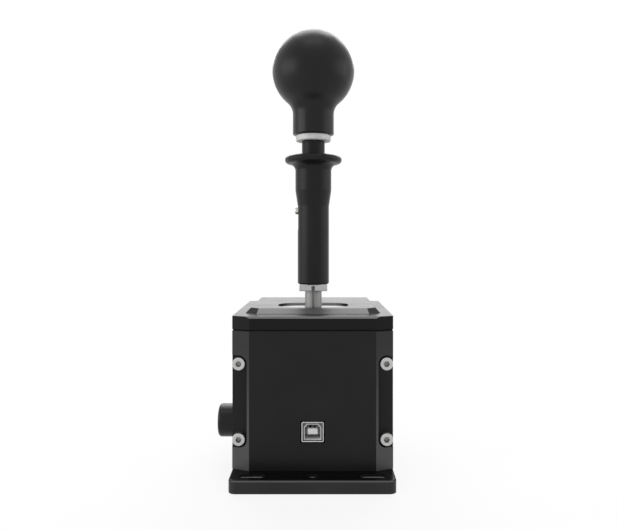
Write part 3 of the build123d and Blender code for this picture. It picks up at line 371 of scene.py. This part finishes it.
def base_finish(name, color, rough, specular):
    """The base plate: a smooth top and dull rims round its openings, both darkened with painted shade, worn
    outer edges, a painted highlight on the end bevels and slot walls painted pale as painted light.
    """
    s = Shader(name)
    x, y, z = s.places()
    up = s.facing()[2]
    from_middle = s.size(y)
    normal = s.rounded(0.0004)
    tone = s.clouded(color, scale=30.0, detail=4.0, shades=(0.88, 1.15))
    outside = s.either(s.below(z, RIM_FOOT, soft=0.0002), s.above(from_middle, END_WORN, soft=0.0003))
    tone = s.worn(tone, normal, patch_scale=380.0, wear=s.both(outside, 0.4))
    # The end bevels' lower half is painted pale: a painted highlight.
    end_bevel = s.both(
        s.within(up, 0.30, 0.92, soft=0.04),
        s.above(from_middle, END_BEVEL, soft=0.0002),
        s.below(z, BEVEL_MIDDLE, soft=0.00005),
    )
    tone = s.mix(end_bevel, tone, CUT_EDGE_HIGHLIGHT)
    # The slot walls are painted pale: painted light seen inside the slots.
    slot_walls = s.both(
        s.below(s.size(s.math("SUBTRACT", from_middle, SLOT_ROW)), SLOT_ROW_HALF, soft=0.0001),
        s.below(s.size(x), SLOT_ROW_SIDE, soft=0.0002),
        s.within(z, SLOT_WALL_FOOT, RIM_FOOT, soft=0.0001),
        s.below(s.size(up), 0.3, soft=0.05),
    )
    tone = s.mix(slot_walls, tone, BASE_SLOT_PAINTED_LIGHT)
    # The top and the rims round the openings are darkened: painted shade.
    rims = s.both(s.above(z, RIM_FOOT, soft=0.0001), s.below(from_middle, OPENINGS_END, soft=0.0002))
    top = s.either(s.above(up, 0.97, soft=0.01), rims)
    tone = s.mix(top, tone, shade(color, TOP_PAINTED_SHADE))
    roughness = s.mix(top, s.satin(rough), TOP_ROUGH, kind="FLOAT")
    roughness = s.mix(s.both(rims, s.below(up, 0.90, soft=0.04)), roughness, RIM_ROUGH, kind="FLOAT")
    return s.surface(tone, roughness, s.blasted(0.04, normal), specular=specular)


# The cover: its rim's height, the plateau's foot, the lever slot's ends and its wall, painted pale along its
# straight middle as a painted reflection, and its looks.
COVER_RIM = 0.0906
RIM_BEVEL_TOP = COVER_RIM - 0.00002
PLATEAU_FOOT = (COVER_RIM + 0.00002, COVER_RIM + 0.00016)
LEVER_SLOT_FRONT = -0.0260
LEVER_SLOT_BACK = 0.0060
LEVER_SLOT_WALL = 0.0022
LEVER_SLOT_STRAIGHT = 0.0165
LEVER_SLOT_PAINTED_LIGHT = (0.36, 0.36, 0.36)
FRONT_EDGE_HIGHLIGHT = (0.20, 0.20, 0.205)
SLOPE_PAINTED_SHEEN = (0.085, 0.085, 0.0855)
SLOPE_ROUGH = 0.47
DULL_TONE = (0.004, 0.004, 0.004)
DULL_ROUGH = 0.85
LID_ROUGH = (0.18, 0.22)


def cover_finish(name, color, rough, specular):
    """The cover: a smoother lid, pale cut edges as painted highlights, a slope painted paler as painted
    sheen, a dull corner facet each side and a slot wall painted pale as a painted reflection.
    """
    s = Shader(name)
    cover_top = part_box("top_cover")[1][2]
    x, y, z = s.places()
    to_right, to_back, up = s.facing()
    normal = s.rounded(0.0003)
    tone = s.clouded(color, scale=38.0, detail=4.0, shades=(0.85, 1.2))
    tone = s.worn(tone, normal, patch_scale=420.0, wear=0.3)
    # Pale rim bevels and a pale front bevel: painted highlights on the cut edges.
    bevels = s.within(up, 0.50, 0.85, soft=0.03)
    rim_bevels = s.both(bevels, s.below(z, RIM_BEVEL_TOP, soft=0.00001))
    front_bevel = s.both(bevels, s.below(to_back, -0.60, soft=0.03))
    tone = s.mix(s.both(rim_bevels, 0.6), tone, CUT_EDGE_HIGHLIGHT)
    tone = s.mix(front_bevel, tone, FRONT_EDGE_HIGHLIGHT)
    # The slot's wall is painted pale along its straight middle: a painted reflection.
    slot_wall = s.both(
        s.below(s.size(x), LEVER_SLOT_STRAIGHT, soft=0.0035),
        s.within(y, LEVER_SLOT_FRONT, LEVER_SLOT_BACK, soft=0.0001),
        s.above(z, cover_top - LEVER_SLOT_WALL, soft=0.0001),
        s.below(s.size(up), 0.3, soft=0.05),
    )
    tone = s.mix(slot_wall, tone, LEVER_SLOT_PAINTED_LIGHT)
    lid = s.above(up, 0.80, soft=0.05)
    # The slope is painted paler than the lid: painted sheen.
    slope = s.both(lid, s.below(to_back, -0.10, soft=0.02))
    tone = s.mix(slope, tone, SLOPE_PAINTED_SHEEN)
    corner = s.both(slope, s.above(s.size(to_right), 0.10, soft=0.02))
    plateau_foot = s.both(lid, s.within(z, *PLATEAU_FOOT, soft=0.00002))
    dull = s.either(corner, plateau_foot)
    tone = s.mix(dull, tone, DULL_TONE)
    smooth = s.remap(s.noise(scale=60.0, detail=4.0), span=(0.35, 0.7), to=LID_ROUGH)
    roughness = s.mix(lid, s.satin(rough), smooth, kind="FLOAT")
    roughness = s.mix(slope, roughness, SLOPE_ROUGH, kind="FLOAT")
    roughness = s.mix(dull, roughness, DULL_ROUGH, kind="FLOAT")
    return s.surface(tone, roughness, s.blasted(0.06, normal), specular=specular)


# The panel screws: their heads with a knurl round the rim, the sockets sunk in them and darkened with
# painted shade, and their looks.
HEAD_RADIUS = 0.0035
KNURL_WIDTH = 0.0003
KNURL_LINES = 36.0
SOCKET_RADIUS = 0.00185
SOCKET_SINK = 0.00015
SOCKET_PAINTED_SHADE = (0.22, 0.22, 0.22)
HEAD_TONES = ((0.42, 0.42, 0.415), (0.54, 0.54, 0.535))
HEAD_ROUGH = (0.34, 0.46)


def screw_finish(name, node):
    """Plated socket screws in the four corners of a panel: a knurl round each head and a socket darkened
    with painted shade.
    """
    s = Shader(name)
    low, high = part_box(node)
    middle = (low[2] + high[2]) / 2
    x, y, z = s.places()
    aside = s.math("SUBTRACT", s.size(x), high[0] - HEAD_RADIUS)
    rise = s.math("SUBTRACT", s.size(s.math("SUBTRACT", z, middle)), high[2] - HEAD_RADIUS - middle)
    squares = [s.math("MULTIPLY", part, part) for part in (aside, rise)]
    off_axis = s.math("SQRT", s.math("ADD", *squares))
    knurl = s.math("SINE", s.math("MULTIPLY", s.math("ARCTAN2", rise, aside), KNURL_LINES))
    knurl = s.both(knurl, s.above(off_axis, HEAD_RADIUS - KNURL_WIDTH, soft=0.0001))
    # The socket is darkened: painted shade.
    socket = s.both(
        s.below(off_axis, SOCKET_RADIUS, soft=0.00012),
        s.below(s.size(y), high[1] - SOCKET_SINK, soft=0.0001),
    )
    tone = s.ramp(s.noise(scale=90.0, detail=4.0), *HEAD_TONES)
    tone = s.mix(socket, tone, SOCKET_PAINTED_SHADE)
    roughness = s.remap(s.noise(scale=240.0, detail=3.0), span=(0.3, 0.7), to=HEAD_ROUGH)
    normal = s.bump(knurl, 0.5, distance=0.00010, normal=s.rounded(0.00025))
    return s.surface(tone, roughness, normal, metallic=1.0)


def turned_black(name, color, rough, marks, specular):
    """Black coated metal with the faint rings of a lathe."""
    s = Shader(name)
    rings = s.tool_marks(marks, detail=2.0)
    normal = s.rounded(0.0004)
    tone = s.clouded(color, scale=46.0, detail=3.0, shades=(0.85, 1.25), span=(0.3, 0.72))
    tone = s.edged(tone, normal, 0.3, (0.09, 0.09, 0.095))
    roughness = s.remap(rings, span=(0.3, 0.7), to=(rough - 0.05, rough + 0.05))
    normal = s.bump(rings, 0.10, distance=0.00003, normal=normal)
    normal = s.bump(s.noise(scale=3100.0, detail=2.0), 0.08, distance=0.00003, normal=normal)
    return s.surface(tone, roughness, normal, specular=specular)


def moulded(name, color, rough, grain_scale, grain, specular=0.3):
    """Moulded plastic with a fine even grain."""
    s = Shader(name)
    cells = s.add("ShaderNodeTexVoronoi")
    cells.inputs["Scale"].default_value = grain_scale
    s.link(s.coords, cells.inputs["Vector"])
    normal = s.rounded(0.0003)
    tone = s.clouded(color, scale=30.0, detail=3.0, shades=(0.85, 1.18))
    tone = s.edged(tone, normal, 0.25, shade(color, 2.0))
    roughness = s.remap(s.noise(scale=60.0, detail=4.0), span=(0.3, 0.7), to=(rough - 0.05, rough + 0.06))
    normal = s.bump(cells.outputs["Distance"], grain, distance=0.00003, normal=normal)
    return s.surface(tone, roughness, normal, specular=specular)


def metal(name, color, rough, marks, streak, tarnish, scratches, metallic=1.0):
    """Bare metal with tool marks along one direction, light tarnish and hairline scratches."""
    s = Shader(name)
    lines = s.tool_marks(marks, detail=3.0)
    normal = s.rounded(0.0002)
    tone = s.clouded(color, scale=55.0, detail=4.0, shades=(1.0 - tarnish, 1.0))
    tone = s.mix(s.remap(lines, span=(0.3, 0.75), to=(0.0, streak)), tone, shade(color, 0.55))
    tone = s.edged(tone, normal, 0.4, shade(color, 1.15))
    roughness = s.remap(lines, span=(0.25, 0.75), to=(rough - 0.06, rough + 0.08))
    normal = s.bump(lines, scratches, distance=0.00002, normal=normal)
    return s.surface(tone, roughness, normal, metallic=metallic)


def laminate(name, color, trace):
    """Circuit board: solder mask over faint copper tracks."""
    s = Shader(name)
    tracks = s.add("ShaderNodeTexBrick")
    tracks.inputs["Scale"].default_value = 240.0
    tracks.inputs["Mortar Size"].default_value = 0.06
    s.link(s.coords, tracks.inputs["Vector"])
    tone = s.mix(tracks.outputs["Fac"], color, trace)
    roughness = s.remap(s.noise(scale=300.0), span=(0.3, 0.7), to=(0.3, 0.4))
    normal = s.bump(tracks.outputs["Fac"], 0.2, distance=0.00003, normal=s.rounded(0.0001))
    return s.surface(tone, roughness, normal)


# How many tool marks a metre holds along each axis; EVEN has no direction.
ALONG_X = (5200.0, 60.0, 60.0)
ALONG_Y = (60.0, 5200.0, 60.0)
ALONG_Z = (60.0, 60.0, 5200.0)
EVEN = (900.0, 900.0, 900.0)

BLACK = (0.0060, 0.0060, 0.0064)
FINISHES = {}


def dress(name, kind, *nodes, **settings):
    """Makes one finish and gives it to the CAD nodes that have it."""
    FINISHES[name] = kind(name, **settings)
    for node in nodes:
        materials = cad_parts[node].data.materials
        materials.clear()
        materials.append(FINISHES[name])


# Black parts that show outside.
dress(
    "housing_black", housing_finish,
    "front_panel", "rear_panel", "left_side_plate", "right_side_plate",
    color=shade(BLACK, 2.4), rough=0.34, specular=0.14,
)
dress("cover_black", cover_finish, "top_cover", color=shade(BLACK, 0.6), rough=0.36, specular=0.16)
dress("base_black", base_finish, "base_plate", color=(0.029, 0.029, 0.0295), rough=0.42, specular=0.18)
dress(
    "sleeve_black", turned_black, "lift_sleeve",
    color=(0.0065, 0.0065, 0.0068), rough=0.36, marks=ALONG_Z, specular=0.2,
)
dress(
    "neck_black", turned_black, "lever_neck",
    color=(0.006, 0.006, 0.0062), rough=0.40, marks=ALONG_Z, specular=0.2,
)
dress(
    "adjuster_black", turned_black, "adjuster_knob",
    color=(0.008, 0.008, 0.0083), rough=0.34, marks=ALONG_X, specular=0.24,
)
dress(
    "ball_black", moulded, "shift_knob",
    color=(0.0058, 0.0058, 0.0061), rough=0.33, grain_scale=2300.0, grain=0.06, specular=0.24,
)

# Metals.
dress("panel_screw", screw_finish, "panel_screws", node="panel_screws")
dress(
    "screw_zinc", metal,
    "tie_screws", "guide_screws", "cross_screw", "gate_screws", "board_screws", "cam_screws",
    color=(0.60, 0.59, 0.57), rough=0.30, marks=EVEN, streak=0.12, tarnish=0.15, scratches=0.12,
)
dress(
    "shaft_steel", metal,
    "lever_shaft", "lane_shafts", "throw_pins", "pull_rod", "lane_bearings",
    color=(0.38, 0.38, 0.375), rough=0.50, marks=ALONG_Z,
    streak=0.10, tarnish=0.08, scratches=0.06, metallic=0.65,
)
dress(
    "ring_steel", metal, "knob_ring",
    color=(0.62, 0.62, 0.615), rough=0.56, marks=ALONG_Z,
    streak=0.08, tarnish=0.06, scratches=0.05, metallic=0.35,
)
dress(
    "collar_alu", metal, "stop_collar",
    color=(0.54, 0.54, 0.542), rough=0.44, marks=ALONG_X,
    streak=0.08, tarnish=0.06, scratches=0.06, metallic=0.8,
)
dress(
    "machined_alu", metal,
    "gimbal_yoke", "pivot_block", "gate_posts", "plunger_housing", "spring_stop", "board_standoffs",
    color=(0.72, 0.72, 0.73), rough=0.32, marks=EVEN, streak=0.10, tarnish=0.08, scratches=0.12,
)
dress(
    "dust_alu", metal, "dust_plate_upper",
    color=(0.36, 0.36, 0.365), rough=0.62, marks=ALONG_X,
    streak=0.10, tarnish=0.06, scratches=0.10, metallic=0.7,
)
dress(
    "hard_steel", metal,
    "detent_plate", "lane_cam", "gate_plate", "lockout_block", "detent_ball", "detent_body",
    "detent_lock_nut", "centring_plunger", "adjuster_screw", "spring_seat",
    color=(0.38, 0.38, 0.39), rough=0.28, marks=ALONG_Z, streak=0.12, tarnish=0.12, scratches=0.12,
)
dress(
    "spring_steel", metal, "sleeve_spring", "centring_spring", "detent_spring",
    color=(0.46, 0.46, 0.45), rough=0.30, marks=EVEN, streak=0.10, tarnish=0.15, scratches=0.05,
)
dress(
    "bronze", metal, "throw_bushes",
    color=(0.55, 0.36, 0.17), rough=0.38, marks=EVEN, streak=0.12, tarnish=0.18, scratches=0.10,
)
dress(
    "brass", metal, "knob_insert",
    color=(0.72, 0.55, 0.25), rough=0.30, marks=ALONG_Z, streak=0.10, tarnish=0.12, scratches=0.10,
)
dress(
    "nickel", metal, "lever_magnet",
    color=(0.66, 0.64, 0.60), rough=0.20, marks=EVEN, streak=0.05, tarnish=0.06, scratches=0.04,
)
dress(
    "tin_shell", metal, "usb_shell",
    color=(0.60, 0.60, 0.598), rough=0.38, marks=ALONG_Y, streak=0.08, tarnish=0.08, scratches=0.06,
)
# The frame's inner walls: the same tin darkened as painted shade.
dress(
    "shell_inside", metal,
    color=(0.20, 0.20, 0.20), rough=0.55, marks=ALONG_Y, streak=0.08, tarnish=0.08, scratches=0.05,
)
dress(
    "contact_dark", metal, "usb_contacts",
    color=(0.06, 0.055, 0.05), rough=0.45, marks=ALONG_Y, streak=0.08, tarnish=0.08, scratches=0.05,
)

# Plastics, rubber and board.
dress(
    "socket_rim", moulded,
    color=(0.56, 0.56, 0.555), rough=0.40, grain_scale=2600.0, grain=0.06, specular=0.5,
)
# The socket's recessed face: the plastic darkened as painted shade.
dress("socket_face", moulded, color=(0.20, 0.20, 0.20), rough=0.50, grain_scale=2600.0, grain=0.06)
dress("socket_inside", moulded, color=(0.66, 0.66, 0.66), rough=0.55, grain_scale=2600.0, grain=0.06)
dress(
    "socket_plastic", moulded, "usb_insulator",
    color=(0.86, 0.86, 0.85), rough=0.42, grain_scale=2600.0, grain=0.08, specular=0.5,
)
dress(
    "rubber", moulded, "throw_bumpers",
    color=(0.020, 0.020, 0.020), rough=0.75, grain_scale=1400.0, grain=0.30, specular=0.2,
)
dress(
    "slider_plastic", moulded, "dust_plate_lower", "dust_guide",
    color=(0.030, 0.030, 0.031), rough=0.45, grain_scale=1600.0, grain=0.15,
)
dress(
    "chip_plastic", moulded, "board_parts", "hall_sensor", "pin_header",
    color=(0.022, 0.022, 0.023), rough=0.50, grain_scale=2600.0, grain=0.20,
)
dress(
    "laminate", laminate, "circuit_board", "sensor_board",
    color=(0.010, 0.085, 0.035), trace=(0.020, 0.15, 0.065),
)


def rounded_box(half_x, half_z, radius, steps):
    """Points round a rectangle whose corners are arcs, the first corner being the lower left one."""
    points = []
    for number, (sx, sz) in enumerate(((-1, -1), (1, -1), (1, 1), (-1, 1))):
        for step in range(steps):
            angle = math.radians(180 + 90 * number + 90 * step / (steps - 1))
            points.append((
                sx * (half_x - radius) + radius * math.cos(angle),
                sz * (half_z - radius) + radius * math.sin(angle),
            ))
    return points


def mouth_outline(half_x, half_z, cut, radius, steps):
    """Points round the mouth: rounded lower corners and slanted upper ones."""
    points = rounded_box(half_x, half_z, radius, steps)[:2 * steps]
    slants = (
        ((half_x, half_z - cut), (half_x - cut, half_z)),
        ((cut - half_x, half_z), (-half_x, half_z - cut)),
    )
    for (x0, z0), (x1, z1) in slants:
        for step in range(steps):
            part = step / (steps - 1)
            points.append((x0 + (x1 - x0) * part, z0 + (z1 - z0) * part))
    return points


class Skin:
    """A mesh under construction: lofted skins and soft-edged blocks, one after the other."""

    def __init__(self, name, finishes):
        self.name = name
        self.finishes = finishes
        self.build = bmesh.new()

    def loft(self, rings, slots):
        """A closed skin through rings of the same number of points, with a finish's slot for each strip."""
        rows = [[self.build.verts.new(point) for point in ring] for ring in rings]
        for first, second, slot in zip(rows, rows[1:], slots):
            for step in range(len(first)):
                after = (step + 1) % len(first)
                face = self.build.faces.new((first[step], first[after], second[after], second[step]))
                face.material_index = slot
        self.build.faces.new(rows[0][::-1]).material_index = slots[0]
        self.build.faces.new(rows[-1]).material_index = slots[-1]

    def block(self, low, high, soft, slot):
        """A block between two corners with softened edges."""
        made = bmesh.ops.create_cube(self.build, size=1.0)
        for vertex in made["verts"]:
            vertex.co = [
                low[axis] + (high[axis] - low[axis]) * (vertex.co[axis] + 0.5) for axis in range(3)
            ]
        edges = list({edge for vertex in made["verts"] for edge in vertex.link_edges})
        for face in {face for vertex in made["verts"] for face in vertex.link_faces}:
            face.material_index = slot
        bmesh.ops.bevel(self.build, geom=edges, offset=soft, segments=2, affect="EDGES", material=slot)

    def finish(self):
        """Makes the mesh, puts its finishes on it and returns its object."""
        bmesh.ops.recalc_face_normals(self.build, faces=self.build.faces)
        mesh = bpy.data.meshes.new(self.name)
        self.build.to_mesh(mesh)
        self.build.free()
        for name in self.finishes:
            mesh.materials.append(FINISHES[name])
        piece = bpy.data.objects.new(self.name, mesh)
        scene.collection.objects.link(piece)
        return piece


# The USB B socket: a folded metal frame, its inner walls darkened as painted shade, and in it the plastic
# with its D-shaped rim, face darkened as painted shade, and tongue.
shell_low, shell_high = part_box("usb_shell")
shell_x = (shell_low[0] + shell_high[0]) / 2
shell_z = (shell_low[2] + shell_high[2]) / 2
shell_half_x = (shell_high[0] - shell_low[0]) / 2
shell_half_z = (shell_high[2] - shell_low[2]) / 2
shell_front = shell_low[1]
shell_depth = shell_high[1] - shell_low[1]
SHELL_WALL = 0.00055
SHELL_ROUND = 0.0007
SHELL_SOFT = 0.00010
INSIDE_ROUND = 0.00015
BLOCK_INSET = SHELL_WALL + 0.00002
FACE_DEPTH = 0.0011
RIM_DEPTH = 0.0003
RIM_WIDTH = 0.00058
RIM_ROUND = 0.0003
MOUTH_HALF_X = 0.00845 / 2
MOUTH_HALF_Z = 0.00778 / 2
MOUTH_CUT = 0.0016
MOUTH_DEPTH = 0.0090
CUT_GROWTH = 0.4
TONGUE_HALF_X = 0.00275
TONGUE_HALF_Z = 0.0016
TONGUE_DEPTH = 0.0013
TONGUE_LAP = 0.0002
TONGUE_SOFT = 0.00015
ROUND_STEPS = 6


def shell_ring(outline, depth):
    return [(shell_x + x, shell_front + depth, shell_z + z) for x, z in outline]


def frame_outline(inset):
    radius = max(SHELL_ROUND - inset, INSIDE_ROUND)
    return rounded_box(shell_half_x - inset, shell_half_z - inset, radius, ROUND_STEPS)


def rim_outline(grow):
    cut = MOUTH_CUT + CUT_GROWTH * grow
    return mouth_outline(MOUTH_HALF_X + grow, MOUTH_HALF_Z + grow, cut, RIM_ROUND, ROUND_STEPS)


shell = Skin("usb_shell_frame", ["tin_shell", "shell_inside"])
OUTSIDE, INSIDE = range(2)
shell.loft([
    shell_ring(frame_outline(0.0), shell_depth),
    shell_ring(frame_outline(0.0), SHELL_SOFT),
    shell_ring(frame_outline(SHELL_SOFT), 0.0),
    shell_ring(frame_outline(SHELL_WALL - SHELL_SOFT), 0.0),
    shell_ring(frame_outline(SHELL_WALL), SHELL_SOFT),
    shell_ring(frame_outline(SHELL_WALL), shell_depth - SHELL_WALL),
], [OUTSIDE] * 4 + [INSIDE])
shell_piece = shell.finish()
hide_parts("usb_shell")
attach(shell_piece, "housing")

insulator = Skin("usb_insulator_block", ["socket_rim", "socket_face", "socket_inside", "socket_plastic"])
RIM, FACE, MOUTH, TONGUE = range(4)
insulator.loft([
    shell_ring(frame_outline(BLOCK_INSET), shell_depth - 2 * SHELL_WALL),
    shell_ring(frame_outline(BLOCK_INSET), FACE_DEPTH),
    shell_ring(rim_outline(RIM_WIDTH), FACE_DEPTH),
    shell_ring(rim_outline(RIM_WIDTH), RIM_DEPTH + SHELL_SOFT),
    shell_ring(rim_outline(RIM_WIDTH - SHELL_SOFT), RIM_DEPTH),
    shell_ring(rim_outline(SHELL_SOFT), RIM_DEPTH),
    shell_ring(rim_outline(0.0), RIM_DEPTH + SHELL_SOFT),
    shell_ring(rim_outline(0.0), MOUTH_DEPTH),
], [FACE] * 2 + [RIM] * 4 + [MOUTH])
insulator.block(
    low=(shell_x - TONGUE_HALF_X, shell_front + TONGUE_DEPTH, shell_z - TONGUE_HALF_Z),
    high=(shell_x + TONGUE_HALF_X, shell_front + MOUTH_DEPTH + TONGUE_LAP, shell_z + TONGUE_HALF_Z),
    soft=TONGUE_SOFT,
    slot=TONGUE,
)
insulator_piece = insulator.finish()
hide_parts("usb_insulator")
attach(insulator_piece, "housing")

# The springs: round wire with closed end turns, each attached to the body that carries it.
X, Y, Z = range(3)
WIRE_POINTS = 10
TURN_STEPS = 28
CLOSED_TURNS = 0.8


def coil_rings(low, high, axis, wire, turns):
    """Rings of points along a round wire that fills a box: its end turns lie flat, the others are open."""
    middle = [(low[i] + high[i]) / 2 for i in range(3)]
    across, up = [i for i in range(3) if i != axis]
    radius = (high[across] - low[across] - wire) / 2
    open_rise = high[axis] - low[axis] - wire - 2 * CLOSED_TURNS * wire
    rings = []
    for step in range(round(turns * TURN_STEPS) + 1):
        turned = step / TURN_STEPS
        first = min(turned, CLOSED_TURNS)
        last = max(0.0, turned - (turns - CLOSED_TURNS))
        share = (turned - first - last) / (turns - 2 * CLOSED_TURNS)
        rise = wire * (first + last) + open_rise * share + wire / 2
        ring = []
        for number in range(WIRE_POINTS):
            round_wire = 2 * math.pi * number / WIRE_POINTS
            out = radius + wire / 2 * math.cos(round_wire)
            point = [0.0, 0.0, 0.0]
            point[axis] = low[axis] + rise + wire / 2 * math.sin(round_wire)
            point[across] = middle[across] + out * math.cos(2 * math.pi * turned)
            point[up] = middle[up] + out * math.sin(2 * math.pi * turned)
            ring.append(point)
        rings.append(ring)
    return rings


def make_spring(node, axis, wire, turns, body, fixed_low):
    """A coil in the node's box along one axis, attached to the body that carries it."""
    low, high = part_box(node)
    rings = coil_rings(low, high, axis, wire, turns)
    spring = Skin(node + "_coil", ["spring_steel"])
    spring.loft(rings, [0] * (len(rings) - 1))
    piece = spring.finish()
    piece.data.polygons.foreach_set("use_smooth", [len(face.vertices) == 4 for face in piece.data.polygons])
    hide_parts(node)
    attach(piece, body)
    anchor = [(low[i] + high[i]) / 2 for i in range(3)]
    anchor[axis] = low[axis] if fixed_low else high[axis]
    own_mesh(piece)


make_spring(
    "sleeve_spring", axis=Z, wire=0.0011, turns=6,
    body="lift_collar", fixed_low=True,
)
make_spring(
    "centring_spring", axis=X, wire=0.0009, turns=3,
    body="spring_seat", fixed_low=True,
)
make_spring(
    "detent_spring", axis=Y, wire=0.0005, turns=6,
    body="yoke", fixed_low=False,
)

# Floor: pale, with the object's soft shadow, and fading to white away from it.
FLOOR_HALF_WIDTH = 4.0
FLOOR_CELLS = 24
FLOOR_DROP = 0.0002
FLOOR_TONES = ((0.905, 0.905, 0.905), (0.915, 0.915, 0.915))
FADE_DISTANCE = (0.12, 0.60)
FADE_SHARE = (0.86, 1.0)
floor_mesh = bpy.data.meshes.new("floor")
floor_build = bmesh.new()
bmesh.ops.create_grid(floor_build, x_segments=FLOOR_CELLS, y_segments=FLOOR_CELLS, size=FLOOR_HALF_WIDTH)
floor_build.to_mesh(floor_mesh)
floor_build.free()
floor = bpy.data.objects.new("floor", floor_mesh)
floor.location.z = -FLOOR_DROP
scene.collection.objects.link(floor)


def floor_finish(name):
    """Matt and pale under the lamps, while the camera sees it mixed with white, more so with distance."""
    s = Shader(name)
    matte = s.add("ShaderNodeBsdfDiffuse")
    tone = s.ramp(s.noise(scale=14.0), *FLOOR_TONES)
    s.link(tone, matte.inputs["Color"])
    distance = s.add("ShaderNodeVectorMath", operation="LENGTH")
    s.link(s.coords, distance.inputs[0])
    fade = s.remap(distance.outputs["Value"], span=FADE_DISTANCE, to=FADE_SHARE)
    glow = s.light("ShaderNodeEmission", 1.0)
    s.blend(s.both(s.seen(), fade), matte.outputs[0], glow)
    return s.material


floor_mesh.materials.append(floor_finish("floor_pale"))
